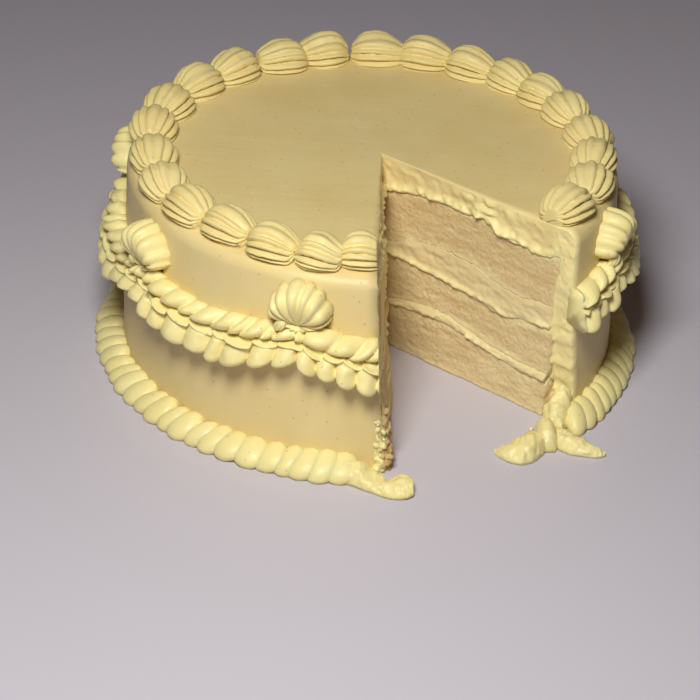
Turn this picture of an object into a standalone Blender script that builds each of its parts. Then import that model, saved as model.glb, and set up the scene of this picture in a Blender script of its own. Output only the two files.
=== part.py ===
"""Round three-layer vanilla cake with one slice taken out.

Three sponge layers with two cream fillings stand inside a coat of buttercream that covers
the side and the top. A border of piped shells runs round the top edge, eight-fold swags of
ruffled cream hang on the side below upright piped fans, and a rope of piped lobes closes
the foot. The slice leaves a wedge-shaped notch at the front, with cream dragged out of the
foot rope at both of its corners.

Metres, +Z up. The origin is the centre of the cake on the surface it stands on, and the
notch opens towards -Y and +X. Angles are in degrees, counter-clockwise from +X.
"""

import math

import bmesh
import bpy
from mathutils import Matrix, Vector

# ---------------------------------------------------------------- driving dimensions

GAP = 0.0003                    # clearance between pieces that touch

CAKE_HEIGHT = 0.0925
WALL_RADIUS_TOP = 0.108
WALL_RADIUS_BASE = 0.1105
RIM_ROUNDING = 0.006
SIDE_ICING = 0.008
TOP_ICING = 0.0138
ROUND_SEGMENTS = 48             # facets round the coat
LAYER_SEGMENTS = 36             # facets round the sponges and fillings inside it

# levels of the layers, from the foot up
SPONGE_BOTTOM_TOP = 0.0205
FILLING_LOWER_TOP = 0.0245
SPONGE_MIDDLE_TOP = 0.0440
FILLING_UPPER_TOP = 0.0540

# the two knife cuts, each a plane that leans a little towards the notch at its foot
CUT_LEFT_X_TOP = 0.0037
CUT_LEFT_X_BASE = 0.0096
CUT_RIGHT_ANGLE = -38.6         # direction of the right cut, out from the centre
CUT_RIGHT_OFFSET_TOP = 0.0044   # distance of that cut from the centre line
CUT_RIGHT_OFFSET_BASE = 0.0009
TORN_ANGLE_FOOT = -34.3         # where the side icing ends at the foot, torn off the cut
TORN_TOP_Z = 0.063              # height at which the tear meets the cut

# piped shells on the top edge, in two runs that start on either side of a seam at the back
SHELL_RING_RADIUS = 0.098
SHELL_WIDTH = 0.0225
SHELL_HEIGHT = 0.0125
SHELL_RIDGES = 6
RUN_LEFT_START = 104.9
RUN_LEFT_STEPS = (12.4, 14.8, 13.2, 14.6, 13.9, 15.9, 14.8, 14.0, 13.7, 14.0, 12.0, 10.4)
RUN_RIGHT_START = 89.9
RUN_RIGHT_STEPS = (13.4, 13.3, 12.8, 11.8, 11.7, 14.5, 14.1, 12.6, 14.0)
RUN_END_HALF_ANGLE = 6.8        # half of the space of the first and the last shell

# upright fans and the swags that hang between them
FAN_WIDTH = 0.0265
FAN_DEPTH = 0.0125
FAN_FOOT_Z = 0.0683
FAN_TOP_Z = 0.0895
FAN_RIDGES = 5
# angle of each fan, and how far its joint in the garland stands above the usual level
JOINTS = ((-19.8, 0.0015), (26.8, 0.0), (73.2, 0.0), (119.5, 0.0), (165.9, -0.001),
          (212.5, -0.004), (255.6, 0.0))
JOINT_IN_SLICE = (298.0, 0.001)  # the joint that went with the slice
SWAG_TOP_Z = 0.0675             # at a joint
SWAG_SPLIT_Z = 0.0605           # where the band ends and the petals start, at a joint
SWAG_FOOT_Z = 0.0530
SWAG_TOP_DROOP = 0.0040         # how far each of them hangs lower halfway between joints
SWAG_SPLIT_DROOP = 0.0050
SWAG_FOOT_DROOP = 0.0085
SWAG_DEPTH = 0.0125
PETAL_PITCH = 4.3               # degrees
PETAL_CREST = (0.27, 0.73)      # where a petal's full depth starts and ends

# foot rope
ROPE_OUTER_RADIUS = 0.1222
ROPE_HEIGHT = 0.0092
ROPE_PITCH = 4.5                # degrees from one lobe to the next
ROPE_SLANT = -3.6               # degrees that a lobe leans over its own width
ROPE_START = -38.3
ROPE_END = 269.0


# ---------------------------------------------------------------- helpers

def clear_scene():
    """Remove every object that the file holds."""
    for obj in list(bpy.data.objects):
        bpy.data.objects.remove(obj, do_unlink=True)


def food_material(name, colour, roughness):
    """Principled material of one food."""
    material = bpy.data.materials.new(name)
    material.use_nodes = True
    shader = material.node_tree.nodes["Principled BSDF"]
    shader.inputs["Base Color"].default_value = (*colour, 1.0)
    shader.inputs["Roughness"].default_value = roughness
    shader.inputs["Metallic"].default_value = 0.0
    material.diffuse_color = (*colour, 1.0)
    return material


def polar(radius, degrees, z):
    """Point at a radius and an angle round the cake's axis."""
    angle = math.radians(degrees)
    return Vector((radius * math.cos(angle), radius * math.sin(angle), z))


def wall_radius(z):
    """Outer radius of the coat at a height, below the rounded rim."""
    share = z / (CAKE_HEIGHT - RIM_ROUNDING)
    return WALL_RADIUS_BASE + (WALL_RADIUS_TOP - WALL_RADIUS_BASE) * share


def add_object(name, mesh, material):
    """Put a mesh into the scene as a named object with one material."""
    mesh.materials.clear()
    mesh.materials.append(material)
    obj = bpy.data.objects.new(name, mesh)
    bpy.context.scene.collection.objects.link(obj)
    return obj


def smooth(mesh, degrees=35.0):
    """Shade a mesh smooth, with sharp edges where it turns by more than an angle."""
    mesh.shade_smooth()
    mesh.set_sharp_from_angle(angle=math.radians(degrees))


def loft(name, stations):
    """Closed mesh through stations, each a loop of the same number of points."""
    bm = bmesh.new()
    rings = [[bm.verts.new(point) for point in station] for station in stations]
    count = len(rings[0])
    for ring, following in zip(rings, rings[1:]):
        for i in range(count):
            j = (i + 1) % count
            bm.faces.new((ring[i], ring[j], following[j], following[i]))
    bm.faces.new(rings[0])
    bm.faces.new(rings[-1])
    bmesh.ops.triangulate(bm, faces=bm.faces[:], ngon_method="EAR_CLIP")
    bmesh.ops.recalc_face_normals(bm, faces=bm.faces[:])
    mesh = bpy.data.meshes.new(name)
    bm.to_mesh(mesh)
    bm.free()
    return mesh


def turned(name, profile):
    """Closed mesh turned round the axis from a closed profile of (radius, z) pairs."""
    bm = bmesh.new()
    columns = []
    poles = {}
    for step in range(ROUND_SEGMENTS):
        column = []
        for radius, z in profile:
            if radius == 0.0:
                if z not in poles:
                    poles[z] = bm.verts.new((0.0, 0.0, z))
                column.append(poles[z])
            else:
                column.append(bm.verts.new(polar(radius, 360.0 * step / ROUND_SEGMENTS, z)))
        columns.append(column)
    for step, column in enumerate(columns):
        following = columns[(step + 1) % ROUND_SEGMENTS]
        for i, vertex in enumerate(column):
            j = (i + 1) % len(column)
            corners = []
            for corner in (vertex, column[j], following[j], following[i]):
                if corner not in corners:
                    corners.append(corner)
            if len(corners) > 2:
                bm.faces.new(corners)
    bmesh.ops.recalc_face_normals(bm, faces=bm.faces[:])
    mesh = bpy.data.meshes.new(name)
    bm.to_mesh(mesh)
    bm.free()
    return mesh


# ---------------------------------------------------------------- the notch

def slice_cutter():
    """Prism that takes the slice out, with both knife planes leaning as they were cut."""
    low, high = -0.02, CAKE_HEIGHT + 0.04
    reach = 0.25
    out = Vector((math.cos(math.radians(CUT_RIGHT_ANGLE)), math.sin(math.radians(CUT_RIGHT_ANGLE))))
    across = Vector((-out.y, out.x))
    loops = []
    for z in (low, high):
        share = z / CAKE_HEIGHT
        left_x = CUT_LEFT_X_BASE + (CUT_LEFT_X_TOP - CUT_LEFT_X_BASE) * share
        offset = CUT_RIGHT_OFFSET_BASE + (CUT_RIGHT_OFFSET_TOP - CUT_RIGHT_OFFSET_BASE) * share
        apex_y = (offset - left_x * across.x) / across.y
        far = across * offset + out * reach
        loops.append([(left_x, apex_y, z), (left_x, -reach, z), (far.x, -reach, z),
                      (far.x, far.y, z)])
    cutter = bpy.data.objects.new("slice_cutter", loft("slice_cutter", loops))
    bpy.context.scene.collection.objects.link(cutter)
    cutter.hide_render = True
    cutter.display_type = "WIRE"
    return cutter


def torn_corner_cutter():
    """Sliver of the side icing that the slice tore away at the foot of the right cut."""
    loops = []
    for share in (-0.1, 1.0):
        angle = TORN_ANGLE_FOOT + (CUT_RIGHT_ANGLE - TORN_ANGLE_FOOT) * share
        z = TORN_TOP_Z * share
        loops.append([polar(0.09, angle - 20.0, z), polar(0.13, angle - 20.0, z),
                      polar(0.13, angle, z), polar(0.09, angle, z)])
    cutter = bpy.data.objects.new("torn_corner_cutter", loft("torn_corner_cutter", loops))
    bpy.context.scene.collection.objects.link(cutter)
    cutter.hide_render = True
    cutter.display_type = "WIRE"
    return cutter


def cut_slice(obj, cutter):
    """Take the slice out of one piece."""
    cut = obj.modifiers.new("slice", "BOOLEAN")
    cut.operation = "DIFFERENCE"
    cut.object = cutter


# ---------------------------------------------------------------- body of the cake

def build_layers(sponge, cream, cutter):
    """Sponges and fillings, stacked with a hair of clearance between them."""
    radius = WALL_RADIUS_TOP - SIDE_ICING - GAP
    levels = (
        ("sponge_bottom", 0.0, SPONGE_BOTTOM_TOP, sponge),
        ("filling_lower", SPONGE_BOTTOM_TOP, FILLING_LOWER_TOP, cream),
        ("sponge_middle", FILLING_LOWER_TOP, SPONGE_MIDDLE_TOP, sponge),
        ("filling_upper", SPONGE_MIDDLE_TOP, FILLING_UPPER_TOP, cream),
        ("sponge_top", FILLING_UPPER_TOP, CAKE_HEIGHT - TOP_ICING, sponge),
    )
    for name, foot, top, material in levels:
        bm = bmesh.new()
        bmesh.ops.create_cone(bm, cap_ends=True, segments=LAYER_SEGMENTS, radius1=radius,
                              radius2=radius, depth=top - foot - GAP,
                              matrix=Matrix.Rotation(math.radians(90.0), 4, "Z"))
        bmesh.ops.translate(bm, verts=bm.verts[:], vec=(0.0, 0.0, (foot + top - GAP) / 2.0))
        mesh = bpy.data.meshes.new(name)
        bm.to_mesh(mesh)
        bm.free()
        smooth(mesh)
        cut_slice(add_object(name, mesh, material), cutter)


def build_coat(cream, cutter):
    """Buttercream coat: a side wall and a thick top in one, with a rounded rim."""
    rim = []
    steps = 3
    for step in range(steps + 1):
        angle = math.radians(90.0 * step / steps)
        rim.append((WALL_RADIUS_TOP - RIM_ROUNDING * (1.0 - math.cos(angle)),
                    CAKE_HEIGHT - RIM_ROUNDING * (1.0 - math.sin(angle))))
    inside = WALL_RADIUS_TOP - SIDE_ICING
    ceiling = CAKE_HEIGHT - TOP_ICING
    profile = [(WALL_RADIUS_BASE, 0.0), *rim, (0.0, CAKE_HEIGHT), (0.0, ceiling),
               (inside, ceiling), (inside, 0.0)]
    mesh = turned("icing_coat", profile)
    smooth(mesh)
    obj = add_object("icing_coat", mesh, cream)
    cut_slice(obj, cutter)
    cut_slice(obj, torn_corner_cutter())


# ---------------------------------------------------------------- shells on the top edge

# along a shell from its head to its tail: place, share of the width, share of the height
SHELL_STATIONS = ((0.0, 0.52, 0.36), (0.13, 0.90, 0.85), (0.42, 1.0, 1.0), (0.76, 0.80, 0.74),
                  (1.0, 0.46, 0.36))
GROOVE = 0.87                   # how far a groove lies in, as a share of the ridge


def shell_mesh(name, half_angle, direction, size):
    """One shell at angle 0 of its ring: a ribbed dome that narrows to its tail."""
    steps = 2 * SHELL_RIDGES
    stations = []
    span = math.radians(2.0 * half_angle) - GAP / SHELL_RING_RADIUS
    for place, width, height in SHELL_STATIONS:
        angle = direction * span * (place - 0.5)
        loop = []
        for step in range(steps + 1):
            turn = math.pi * step / steps
            reach = 1.0 if step % 2 else GROOVE
            across = SHELL_WIDTH / 2.0 * size * width * reach * math.cos(turn)
            radius = SHELL_RING_RADIUS + across
            z = CAKE_HEIGHT + GAP + SHELL_HEIGHT * size * height * reach * math.sin(turn)
            loop.append(polar(radius, math.degrees(angle), z))
        stations.append(loop)
    mesh = loft(name, stations)
    smooth(mesh, 60.0)
    return mesh


def build_run(side, start, steps, direction, cream, cutter):
    """One run of shells along the edge, from the seam at the back to the notch."""
    angles = [start]
    for step in steps:
        angles.append(angles[-1] + direction * step)
    bounds = [start - direction * RUN_END_HALF_ANGLE]
    for angle, following in zip(angles, angles[1:]):
        bounds.append((angle + following) / 2.0)
    bounds.append(angles[-1] + direction * RUN_END_HALF_ANGLE)
    for i in range(len(angles)):
        name = f"shell_{side}_{i + 1:02d}"
        half_angle = abs(bounds[i + 1] - bounds[i]) / 2.0
        size = 1.0 + 0.05 * math.sin(2.3 * i + 0.7 * direction)
        obj = add_object(name, shell_mesh(name, half_angle, direction, size), cream)
        obj.rotation_euler.z = math.radians((bounds[i] + bounds[i + 1]) / 2.0)
        if i == len(angles) - 1:
            cut_slice(obj, cutter)


# ---------------------------------------------------------------- fans on the side

# up a fan from its tail to its head: place, share of the width, share of the depth
FAN_STATIONS = ((0.0, 0.46, 0.56), (0.28, 0.84, 0.92), (0.60, 1.0, 1.0), (0.85, 0.84, 0.78),
                (1.0, 0.50, 0.36))
FAN_BACK_STEPS = 3


def fan_mesh(name, lift):
    """One upright fan at angle 0, its flat back on the wall."""
    steps = 2 * FAN_RIDGES
    stations = []
    for place, width, depth in FAN_STATIONS:
        z = FAN_FOOT_Z + lift + (FAN_TOP_Z - FAN_FOOT_Z) * place
        back = wall_radius(min(z, CAKE_HEIGHT - RIM_ROUNDING)) + GAP
        half = FAN_WIDTH / 2.0 * width
        loop = []
        for step in range(steps + 1):
            turn = math.pi * step / steps
            reach = 1.0 if step % 2 else GROOVE
            across = half * reach * math.cos(turn)
            out = FAN_DEPTH * depth * reach * math.sin(turn)
            loop.append(polar(back + out, math.degrees(across / back), z))
        for step in range(1, FAN_BACK_STEPS):
            across = half * GROOVE * (2.0 * step / FAN_BACK_STEPS - 1.0)
            loop.append(polar(back, math.degrees(across / back), z))
        stations.append(loop)
    mesh = loft(name, stations)
    smooth(mesh, 60.0)
    return mesh


def build_fans(cream):
    """Seven fans, one above each joint of the garland."""
    for i, (angle, lift) in enumerate(JOINTS):
        name = f"fan_{i + 1}"
        obj = add_object(name, fan_mesh(name, lift), cream)
        obj.rotation_euler.z = math.radians(angle)


# ---------------------------------------------------------------- garland of swags

def swag_loop(angle, share, lift, crest):
    """Cross-section of a swag, a ruffled band over a row of petals, at one station."""
    droop = math.sin(math.pi * share)
    top = SWAG_TOP_Z + lift - SWAG_TOP_DROOP * droop
    split = SWAG_SPLIT_Z + lift - SWAG_SPLIT_DROOP * droop
    foot = SWAG_FOOT_Z + lift - SWAG_FOOT_DROOP * droop
    band = SWAG_DEPTH * (0.78 if crest else 0.60)
    petal = SWAG_DEPTH * (1.0 if crest else 0.74)
    hem = foot if crest else foot + 0.0024
    outline = (
        (0.0, top),
        (band * 0.70, top - 0.0009),
        (band, (top + split) / 2.0 - 0.0006),
        (SWAG_DEPTH * 0.50, split - 0.0006),
        (petal * 0.90, split - 0.0034),
        (petal, hem + 0.0012),
        (0.0, hem + 0.0030),
    )
    return [polar(wall_radius(z) + GAP + out, angle, z) for out, z in outline]


def swag_mesh(name, start, end, start_lift, end_lift):
    """One swag between two joints, each joint given by its angle and its lift."""
    petals = round((end - start) / PETAL_PITCH)
    clearance = math.degrees(GAP / 2.0 / WALL_RADIUS_TOP)
    places = [petal + part for petal in range(petals) for part in (0.0, *PETAL_CREST)]
    stations = []
    for place in (*places, petals):
        share = place / petals
        angle = start + clearance + (end - start - 2.0 * clearance) * share
        lift = start_lift + (end_lift - start_lift) * share
        stations.append(swag_loop(angle, share, lift, crest=place != int(place)))
    mesh = loft(name, stations)
    smooth(mesh, 50.0)
    return mesh


def build_garland(cream, cutter):
    """Eight swags. The slice has cut off part of two of them."""
    joints = list(JOINTS)
    joints.insert(0, (JOINT_IN_SLICE[0] - 360.0, JOINT_IN_SLICE[1]))
    joints.append(JOINT_IN_SLICE)
    last = len(joints) - 2
    for i, (left, right) in enumerate(zip(joints, joints[1:])):
        name = f"swag_{i + 1}"
        obj = add_object(name, swag_mesh(name, left[0], right[0], left[1], right[1]), cream)
        if i in (0, last):
            cut_slice(obj, cutter)


# ---------------------------------------------------------------- foot rope

# round the rope from the wall over the top to the foot: share of the width, share of the
# height, and share of the slant
ROPE_PROFILE = ((0.0, 0.0, 0.5), (0.0, 0.82, 0.0), (0.42, 1.0, 0.3), (0.88, 0.66, 0.7),
                (1.0, 0.0, 1.0))
ROPE_GROOVE = 0.80              # size of the rope in a crease, as a share of a lobe's
ROPE_CREST = 0.36               # where a lobe is fullest, as a share of its length


def build_rope(cream):
    """Rope of overlapping lobes that lean along the foot, open where the slice was."""
    inner = WALL_RADIUS_BASE + GAP
    width = ROPE_OUTER_RADIUS - inner
    lobes = round((ROPE_END - ROPE_START) / ROPE_PITCH)
    pitch = (ROPE_END - ROPE_START) / lobes
    stations = []
    for step in range(2 * lobes + 1):
        lobe, second = divmod(step, 2)
        angle = ROPE_START + pitch * (lobe + ROPE_CREST * second)
        size = 1.0 if second else ROPE_GROOVE
        ends = min(1.0, step / 4.0, (2 * lobes - step) / 4.0)
        loop = []
        for out, up, lean in ROPE_PROFILE:
            radius = inner + width * out * size
            loop.append(polar(radius, angle + ROPE_SLANT * lean * ends, ROPE_HEIGHT * up * size))
        stations.append(loop)
    mesh = loft("base_rope", stations)
    smooth(mesh, 45.0)
    add_object("base_rope", mesh, cream)


# ---------------------------------------------------------------- dragged cream

def dragged_mesh(name, sections):
    """Low blob along a path, from sections of x, y, heading, half width, foot and height."""
    stations = []
    steps = 6
    for x, y, heading, half, foot, height in sections:
        side = Vector((-math.sin(math.radians(heading)), math.cos(math.radians(heading)), 0.0))
        loop = []
        for step in range(steps + 1):
            turn = math.pi * step / steps
            loop.append(Vector((x, y, foot + height * math.sin(turn) ** 0.7))
                        + side * half * math.cos(turn))
        stations.append(loop)
    mesh = loft(name, stations)
    smooth(mesh, 60.0)
    return mesh


def build_dragged_cream(cream):
    """Cream of the foot rope that the knife pulled out at the notch's two corners."""
    add_object("smear_left", dragged_mesh("smear_left", (
        (-0.0010, -0.1160, 0.0, 0.0050, 0.0, 0.0080),
        (0.0045, -0.1166, -14.0, 0.0058, 0.0, 0.0056),
        (0.0100, -0.1190, -16.0, 0.0056, 0.0, 0.0038),
        (0.0155, -0.1208, -20.0, 0.0070, 0.0, 0.0042),
        (0.0200, -0.1230, -26.0, 0.0060, 0.0006, 0.0050),
        (0.0230, -0.1250, -30.0, 0.0034, 0.0030, 0.0026),
    )), cream)
    add_object("lump_corner", dragged_mesh("lump_corner", (
        (0.0854, -0.0624, -90.0, 0.0040, 0.0, 0.0125),
        (0.0846, -0.0655, -92.0, 0.0035, 0.0, 0.0100),
        (0.0842, -0.0690, -90.0, 0.0021, 0.0, 0.0062),
        (0.0846, -0.0712, -90.0, 0.0010, 0.0, 0.0030),
    )), cream)
    add_object("lump_barrel", dragged_mesh("lump_barrel", (
        (0.0788, -0.0696, -86.0, 0.0028, 0.0, 0.0062),
        (0.0792, -0.0730, -86.0, 0.0038, 0.0, 0.0090),
        (0.0797, -0.0800, -86.0, 0.0042, 0.0, 0.0094),
        (0.0802, -0.0862, -86.0, 0.0038, 0.0, 0.0078),
        (0.0804, -0.0892, -86.0, 0.0026, 0.0, 0.0042),
    )), cream)
    add_object("lump_wide", dragged_mesh("lump_wide", (
        (0.0728, -0.0692, -118.0, 0.0026, 0.0, 0.0044),
        (0.0698, -0.0768, -112.0, 0.0046, 0.0, 0.0070),
        (0.0674, -0.0842, -104.0, 0.0068, 0.0, 0.0082),
        (0.0672, -0.0908, -84.0, 0.0076, 0.0, 0.0074),
        (0.0690, -0.0968, -72.0, 0.0048, 0.0, 0.0050),
        (0.0702, -0.1006, -72.0, 0.0022, 0.0, 0.0026),
    )), cream)
    add_object("curl_right", dragged_mesh("curl_right", (
        (0.0886, -0.0752, -86.0, 0.0026, 0.0, 0.0052),
        (0.0896, -0.0815, -74.0, 0.0040, 0.0, 0.0048),
        (0.0926, -0.0870, -50.0, 0.0046, 0.0, 0.0038),
        (0.0974, -0.0900, -24.0, 0.0034, 0.0, 0.0034),
        (0.1034, -0.0908, -8.0, 0.0014, 0.0006, 0.0030),
    )), cream)


# ---------------------------------------------------------------- the cake

def main():
    """Build the whole cake."""
    clear_scene()
    sponge = food_material("sponge", (0.67, 0.50, 0.32), 0.90)
    buttercream = food_material("buttercream", (0.83, 0.72, 0.45), 0.45)
    filling = food_material("filling", (0.84, 0.75, 0.52), 0.55)
    cutter = slice_cutter()
    build_layers(sponge, filling, cutter)
    build_coat(buttercream, cutter)
    build_run("left", RUN_LEFT_START, RUN_LEFT_STEPS, 1.0, buttercream, cutter)
    build_run("right", RUN_RIGHT_START, RUN_RIGHT_STEPS, -1.0, buttercream, cutter)
    build_fans(buttercream)
    build_garland(buttercream, cutter)
    build_rope(buttercream)
    build_dragged_cream(buttercream)


if __name__ == "__main__":
    main()
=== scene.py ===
"""Layer cake with one slice taken out: the piped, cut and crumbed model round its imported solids.

Millimetres inside the shape functions, metres in Blender. +Z is up, the origin is the centre of
the cake on the surface it stands on, and the notch opens towards -Y and +X. Angles are in
degrees, counter-clockwise from +X.
"""

import math

import bmesh
import bpy
import numpy as np
from bpy.props import FloatProperty, FloatVectorProperty, IntProperty, PointerProperty
from bpy.types import Operator, Panel, PropertyGroup
from mathutils import Euler, Matrix, Vector


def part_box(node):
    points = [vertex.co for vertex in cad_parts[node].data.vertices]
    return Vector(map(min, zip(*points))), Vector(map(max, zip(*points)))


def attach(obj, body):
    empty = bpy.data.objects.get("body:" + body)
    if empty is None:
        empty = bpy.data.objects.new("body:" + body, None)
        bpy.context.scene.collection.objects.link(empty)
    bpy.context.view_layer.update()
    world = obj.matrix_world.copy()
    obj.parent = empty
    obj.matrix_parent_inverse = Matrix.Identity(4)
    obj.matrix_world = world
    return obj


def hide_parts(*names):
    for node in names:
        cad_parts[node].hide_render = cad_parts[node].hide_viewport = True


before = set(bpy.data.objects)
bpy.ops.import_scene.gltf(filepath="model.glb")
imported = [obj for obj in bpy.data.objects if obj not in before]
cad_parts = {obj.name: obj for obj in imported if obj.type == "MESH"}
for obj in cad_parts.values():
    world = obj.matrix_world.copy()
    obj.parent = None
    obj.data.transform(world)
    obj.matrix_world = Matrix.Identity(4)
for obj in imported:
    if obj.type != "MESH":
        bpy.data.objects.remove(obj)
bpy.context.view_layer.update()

bl_info = {
    "name": "Layer cake",
    "version": (1, 0, 0),
    "blender": (4, 5, 0),
    "location": "3D View > Sidebar > Layer cake",
    "description": "Builds a piped layer cake with one slice taken out",
    "category": "Add Mesh",
}

MM = 0.001
BODY = "root"


def box_mm(node):
    """Lowest and highest corner of a solid, in millimetres."""
    low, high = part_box(node)
    return np.array(low) / MM, np.array(high) / MM


# ---------------------------------------------------------------- the cake's frame

HEIGHT = box_mm("icing_coat")[1][2]
RADIUS_TOP = 108.0
RADIUS_FOOT = 110.5
RIM = 6.0                        # rounding of the coat's top edge
ICING_INNER = 100.0              # where the sponge ends and the coat on the side starts
LIP = 78.7                       # underside of the top icing at the side of the cake
LEVELS = [0.0] + [box_mm(node)[1][2] for node in
                  ("sponge_bottom", "filling_lower", "sponge_middle", "filling_upper")]

CUT_LEFT = (9.6, 3.7)            # x of the left knife cut at the foot and at the top
CUT_RIGHT_ANGLE = -38.6
CUT_RIGHT = (0.9, 4.4)           # distance of the right cut from the axis, foot and top
TORN_DEGREES = 4.3               # how far the coat is torn back at the foot of the right cut
TORN_TOP = 63.0

RIGHT_OUT = np.array([math.cos(math.radians(CUT_RIGHT_ANGLE)),
                      math.sin(math.radians(CUT_RIGHT_ANGLE))])
RIGHT_ACROSS = np.array([-RIGHT_OUT[1], RIGHT_OUT[0]])   # into the cake

SHELL_RING = 98.0
# angle of each shell and its distance from the axis, from the seam at the back
LEFT_RUN = ((104.9, 99.0), (117.3, 97.7), (132.1, 98.7), (145.3, 99.6), (159.9, 99.6),
            (173.8, 99.0), (189.7, 97.4), (204.5, 97.8), (218.5, 97.6), (232.2, 95.8),
            (246.2, 98.2), (258.2, 97.6), (268.4, 93.4))
RIGHT_RUN = ((89.9, 99.2), (76.5, 98.6), (63.2, 98.0), (50.4, 98.6), (38.6, 98.2),
             (26.9, 97.8), (12.4, 98.0), (-1.7, 97.4), (-14.8, 97.6), (-28.8, 95.6))

# joints of the garland: angle and how far the joint stands above the usual level
JOINTS = ((-62.0, 1.0), (-19.8, 1.5), (26.8, 0.0), (73.2, 0.0), (119.5, 0.0), (165.9, -1.0),
          (212.5, -1.5), (255.6, 0.5), (298.0, -0.5))
SWAG_TOP, SWAG_TOP_DROOP = 69.0, 3.0
SWAG_SPLIT, SWAG_SPLIT_DROOP = 61.5, 4.0
SWAG_FOOT, SWAG_FOOT_DROOP = 53.3, 6.5
FRONT_DROOP = 3.0                # how much lower the swag at the left cut hangs


# ---------------------------------------------------------------- numbers

def lerp(a, b, t):
    """Straight blend from a to b."""
    return a + (b - a) * t


def ease(t):
    """Smooth step from 0 to 1."""
    t = np.clip(t, 0.0, 1.0)
    return t * t * (3.0 - 2.0 * t)


def lattice(x, y, z, seed):
    """Random value from -1 to 1 for every whole-number corner."""
    h = x * 374761393 + y * 668265263 + z * 2147483647 + seed * 1274126177
    h = h & 0xFFFFFFFF
    h = ((h ^ (h >> 13)) * 1274126177) & 0xFFFFFFFF
    h = ((h ^ (h >> 16)) * 2246822519) & 0xFFFFFFFF
    h = h ^ (h >> 15)
    return h / 2147483647.5 - 1.0


def noise(points, grain, seed=0):
    """Smooth noise from -1 to 1 at points. Grain is the size of its lumps, one number or three."""
    p = np.asarray(points, float) / grain
    base = np.floor(p).astype(np.int64)
    f = p - base
    f = f * f * (3.0 - 2.0 * f)
    total = 0.0
    for dx in (0, 1):
        wx = f[..., 0] if dx else 1.0 - f[..., 0]
        for dy in (0, 1):
            wy = f[..., 1] if dy else 1.0 - f[..., 1]
            for dz in (0, 1):
                wz = f[..., 2] if dz else 1.0 - f[..., 2]
                total = total + wx * wy * wz * lattice(
                    base[..., 0] + dx, base[..., 1] + dy, base[..., 2] + dz, seed)
    return total


def wave(t, grain, seed=0):
    """Smooth noise along one number."""
    t = np.asarray(t, float)
    return noise(np.stack([t, t * 0.0 + 0.37, t * 0.0 + 0.71], -1), (grain, 1.0, 1.0), seed)


def power(value, exponent):
    """Power that keeps the sign."""
    return np.sign(value) * np.abs(value) ** exponent


# ---------------------------------------------------------------- knife cuts

def cut_left_x(z):
    """x of the left cut at a height."""
    return lerp(CUT_LEFT[0], CUT_LEFT[1], z / HEIGHT)


def cut_right_offset(z):
    """Distance of the right cut from the axis at a height."""
    return lerp(CUT_RIGHT[0], CUT_RIGHT[1], z / HEIGHT)


def apex(z):
    """Point where the two cuts meet, at each height."""
    x = cut_left_x(z)
    y = (cut_right_offset(z) - x * RIGHT_ACROSS[0]) / RIGHT_ACROSS[1]
    return x, y


def from_apex(direction, radius, z):
    """Distance from the apex line to a circle round the axis, along a direction in degrees."""
    ax, ay = apex(z)
    dx, dy = np.cos(np.radians(direction)), np.sin(np.radians(direction))
    along = ax * dx + ay * dy
    return -along + np.sqrt(along ** 2 - ax ** 2 - ay ** 2 + radius ** 2)


def spoke(direction, s, z):
    """Point at distance s from the apex line, along a direction in degrees."""
    ax, ay = apex(z)
    dx, dy = np.cos(np.radians(direction)), np.sin(np.radians(direction))
    s, z = np.broadcast_arrays(np.asarray(s, float), np.asarray(z, float))
    return np.stack([ax + s * dx, ay + s * dy, z + 0.0 * s], -1)


def wall_radius(z):
    """Radius of the coat's side at a height, below the rounded edge."""
    return lerp(RADIUS_FOOT, RADIUS_TOP, np.clip(z / (HEIGHT - RIM), 0.0, 1.0))


def crumb_edge(z, side):
    """How far the sponge's edge strays from its circle where it is cut."""
    return 1.3 * wave(z, 9.0, 31 + side) + 0.6 * wave(z, 3.0, 41 + side)


# boundaries between the layers along the right cut: distance from the apex and height
ICING_UNDER = ((0, 76.2), (6, 76.8), (14, 79.0), (24, 80.4), (36, 81.6), (48, 80.6), (57, 81.4),
               (63, 80.8), (67, 78.2), (75, 77.2), (88, 76.4), (95, 77.0), (105, LIP))
FILLING_EDGES = (
    ((0, 20.0), (10, 22.0), (20, 22.8), (34, 23.4), (50, 22.4), (64, 20.2), (78, 18.6),
     (90, 17.2), (105, 17.0)),
    ((0, 23.5), (8, 25.0), (20, 27.0), (34, 28.8), (46, 27.2), (60, 24.0), (74, 21.8),
     (90, 21.2), (105, 21.0)),
    ((0, 46.4), (12, 45.0), (30, 44.4), (48, 43.0), (62, 41.6), (68, 39.8), (78, 39.6),
     (86, 42.4), (105, 43.0)),
    ((0, 51.5), (7, 52.4), (15, 57.0), (34, 59.2), (57, 58.0), (66, 55.4), (76, 53.2),
     (86, 52.4), (96, 54.0), (105, 54.4)),
)


def boundary(level, s, side):
    """Height of a boundary along a cut: 0 is the foot, 5 the underside of the top icing."""
    s = np.asarray(s, float)
    if level == 0:
        return s * 0.0
    if level == 5:
        table = ICING_UNDER
    else:
        table = FILLING_EDGES[level - 1]
    xs = [row[0] for row in table]
    right = np.interp(s, xs, [row[1] for row in table])
    if side == 0:
        right = right + 0.45 * wave(s, 4.2, 50 + level) + 0.3 * wave(s, 1.7, 60 + level)
        mild = ease(s / 3.0)
        start = table[0][1]
        return start + (right - start) * mild
    mean = LEVELS[level] if level < 5 else LIP + 0.8
    left = mean + 1.5 * wave(s, 26.0, 70 + level) + 0.5 * wave(s, 5.0, 80 + level)
    blend = ease(s / 22.0)
    return lerp(table[0][1], left, blend)


# ---------------------------------------------------------------- meshes

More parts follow.
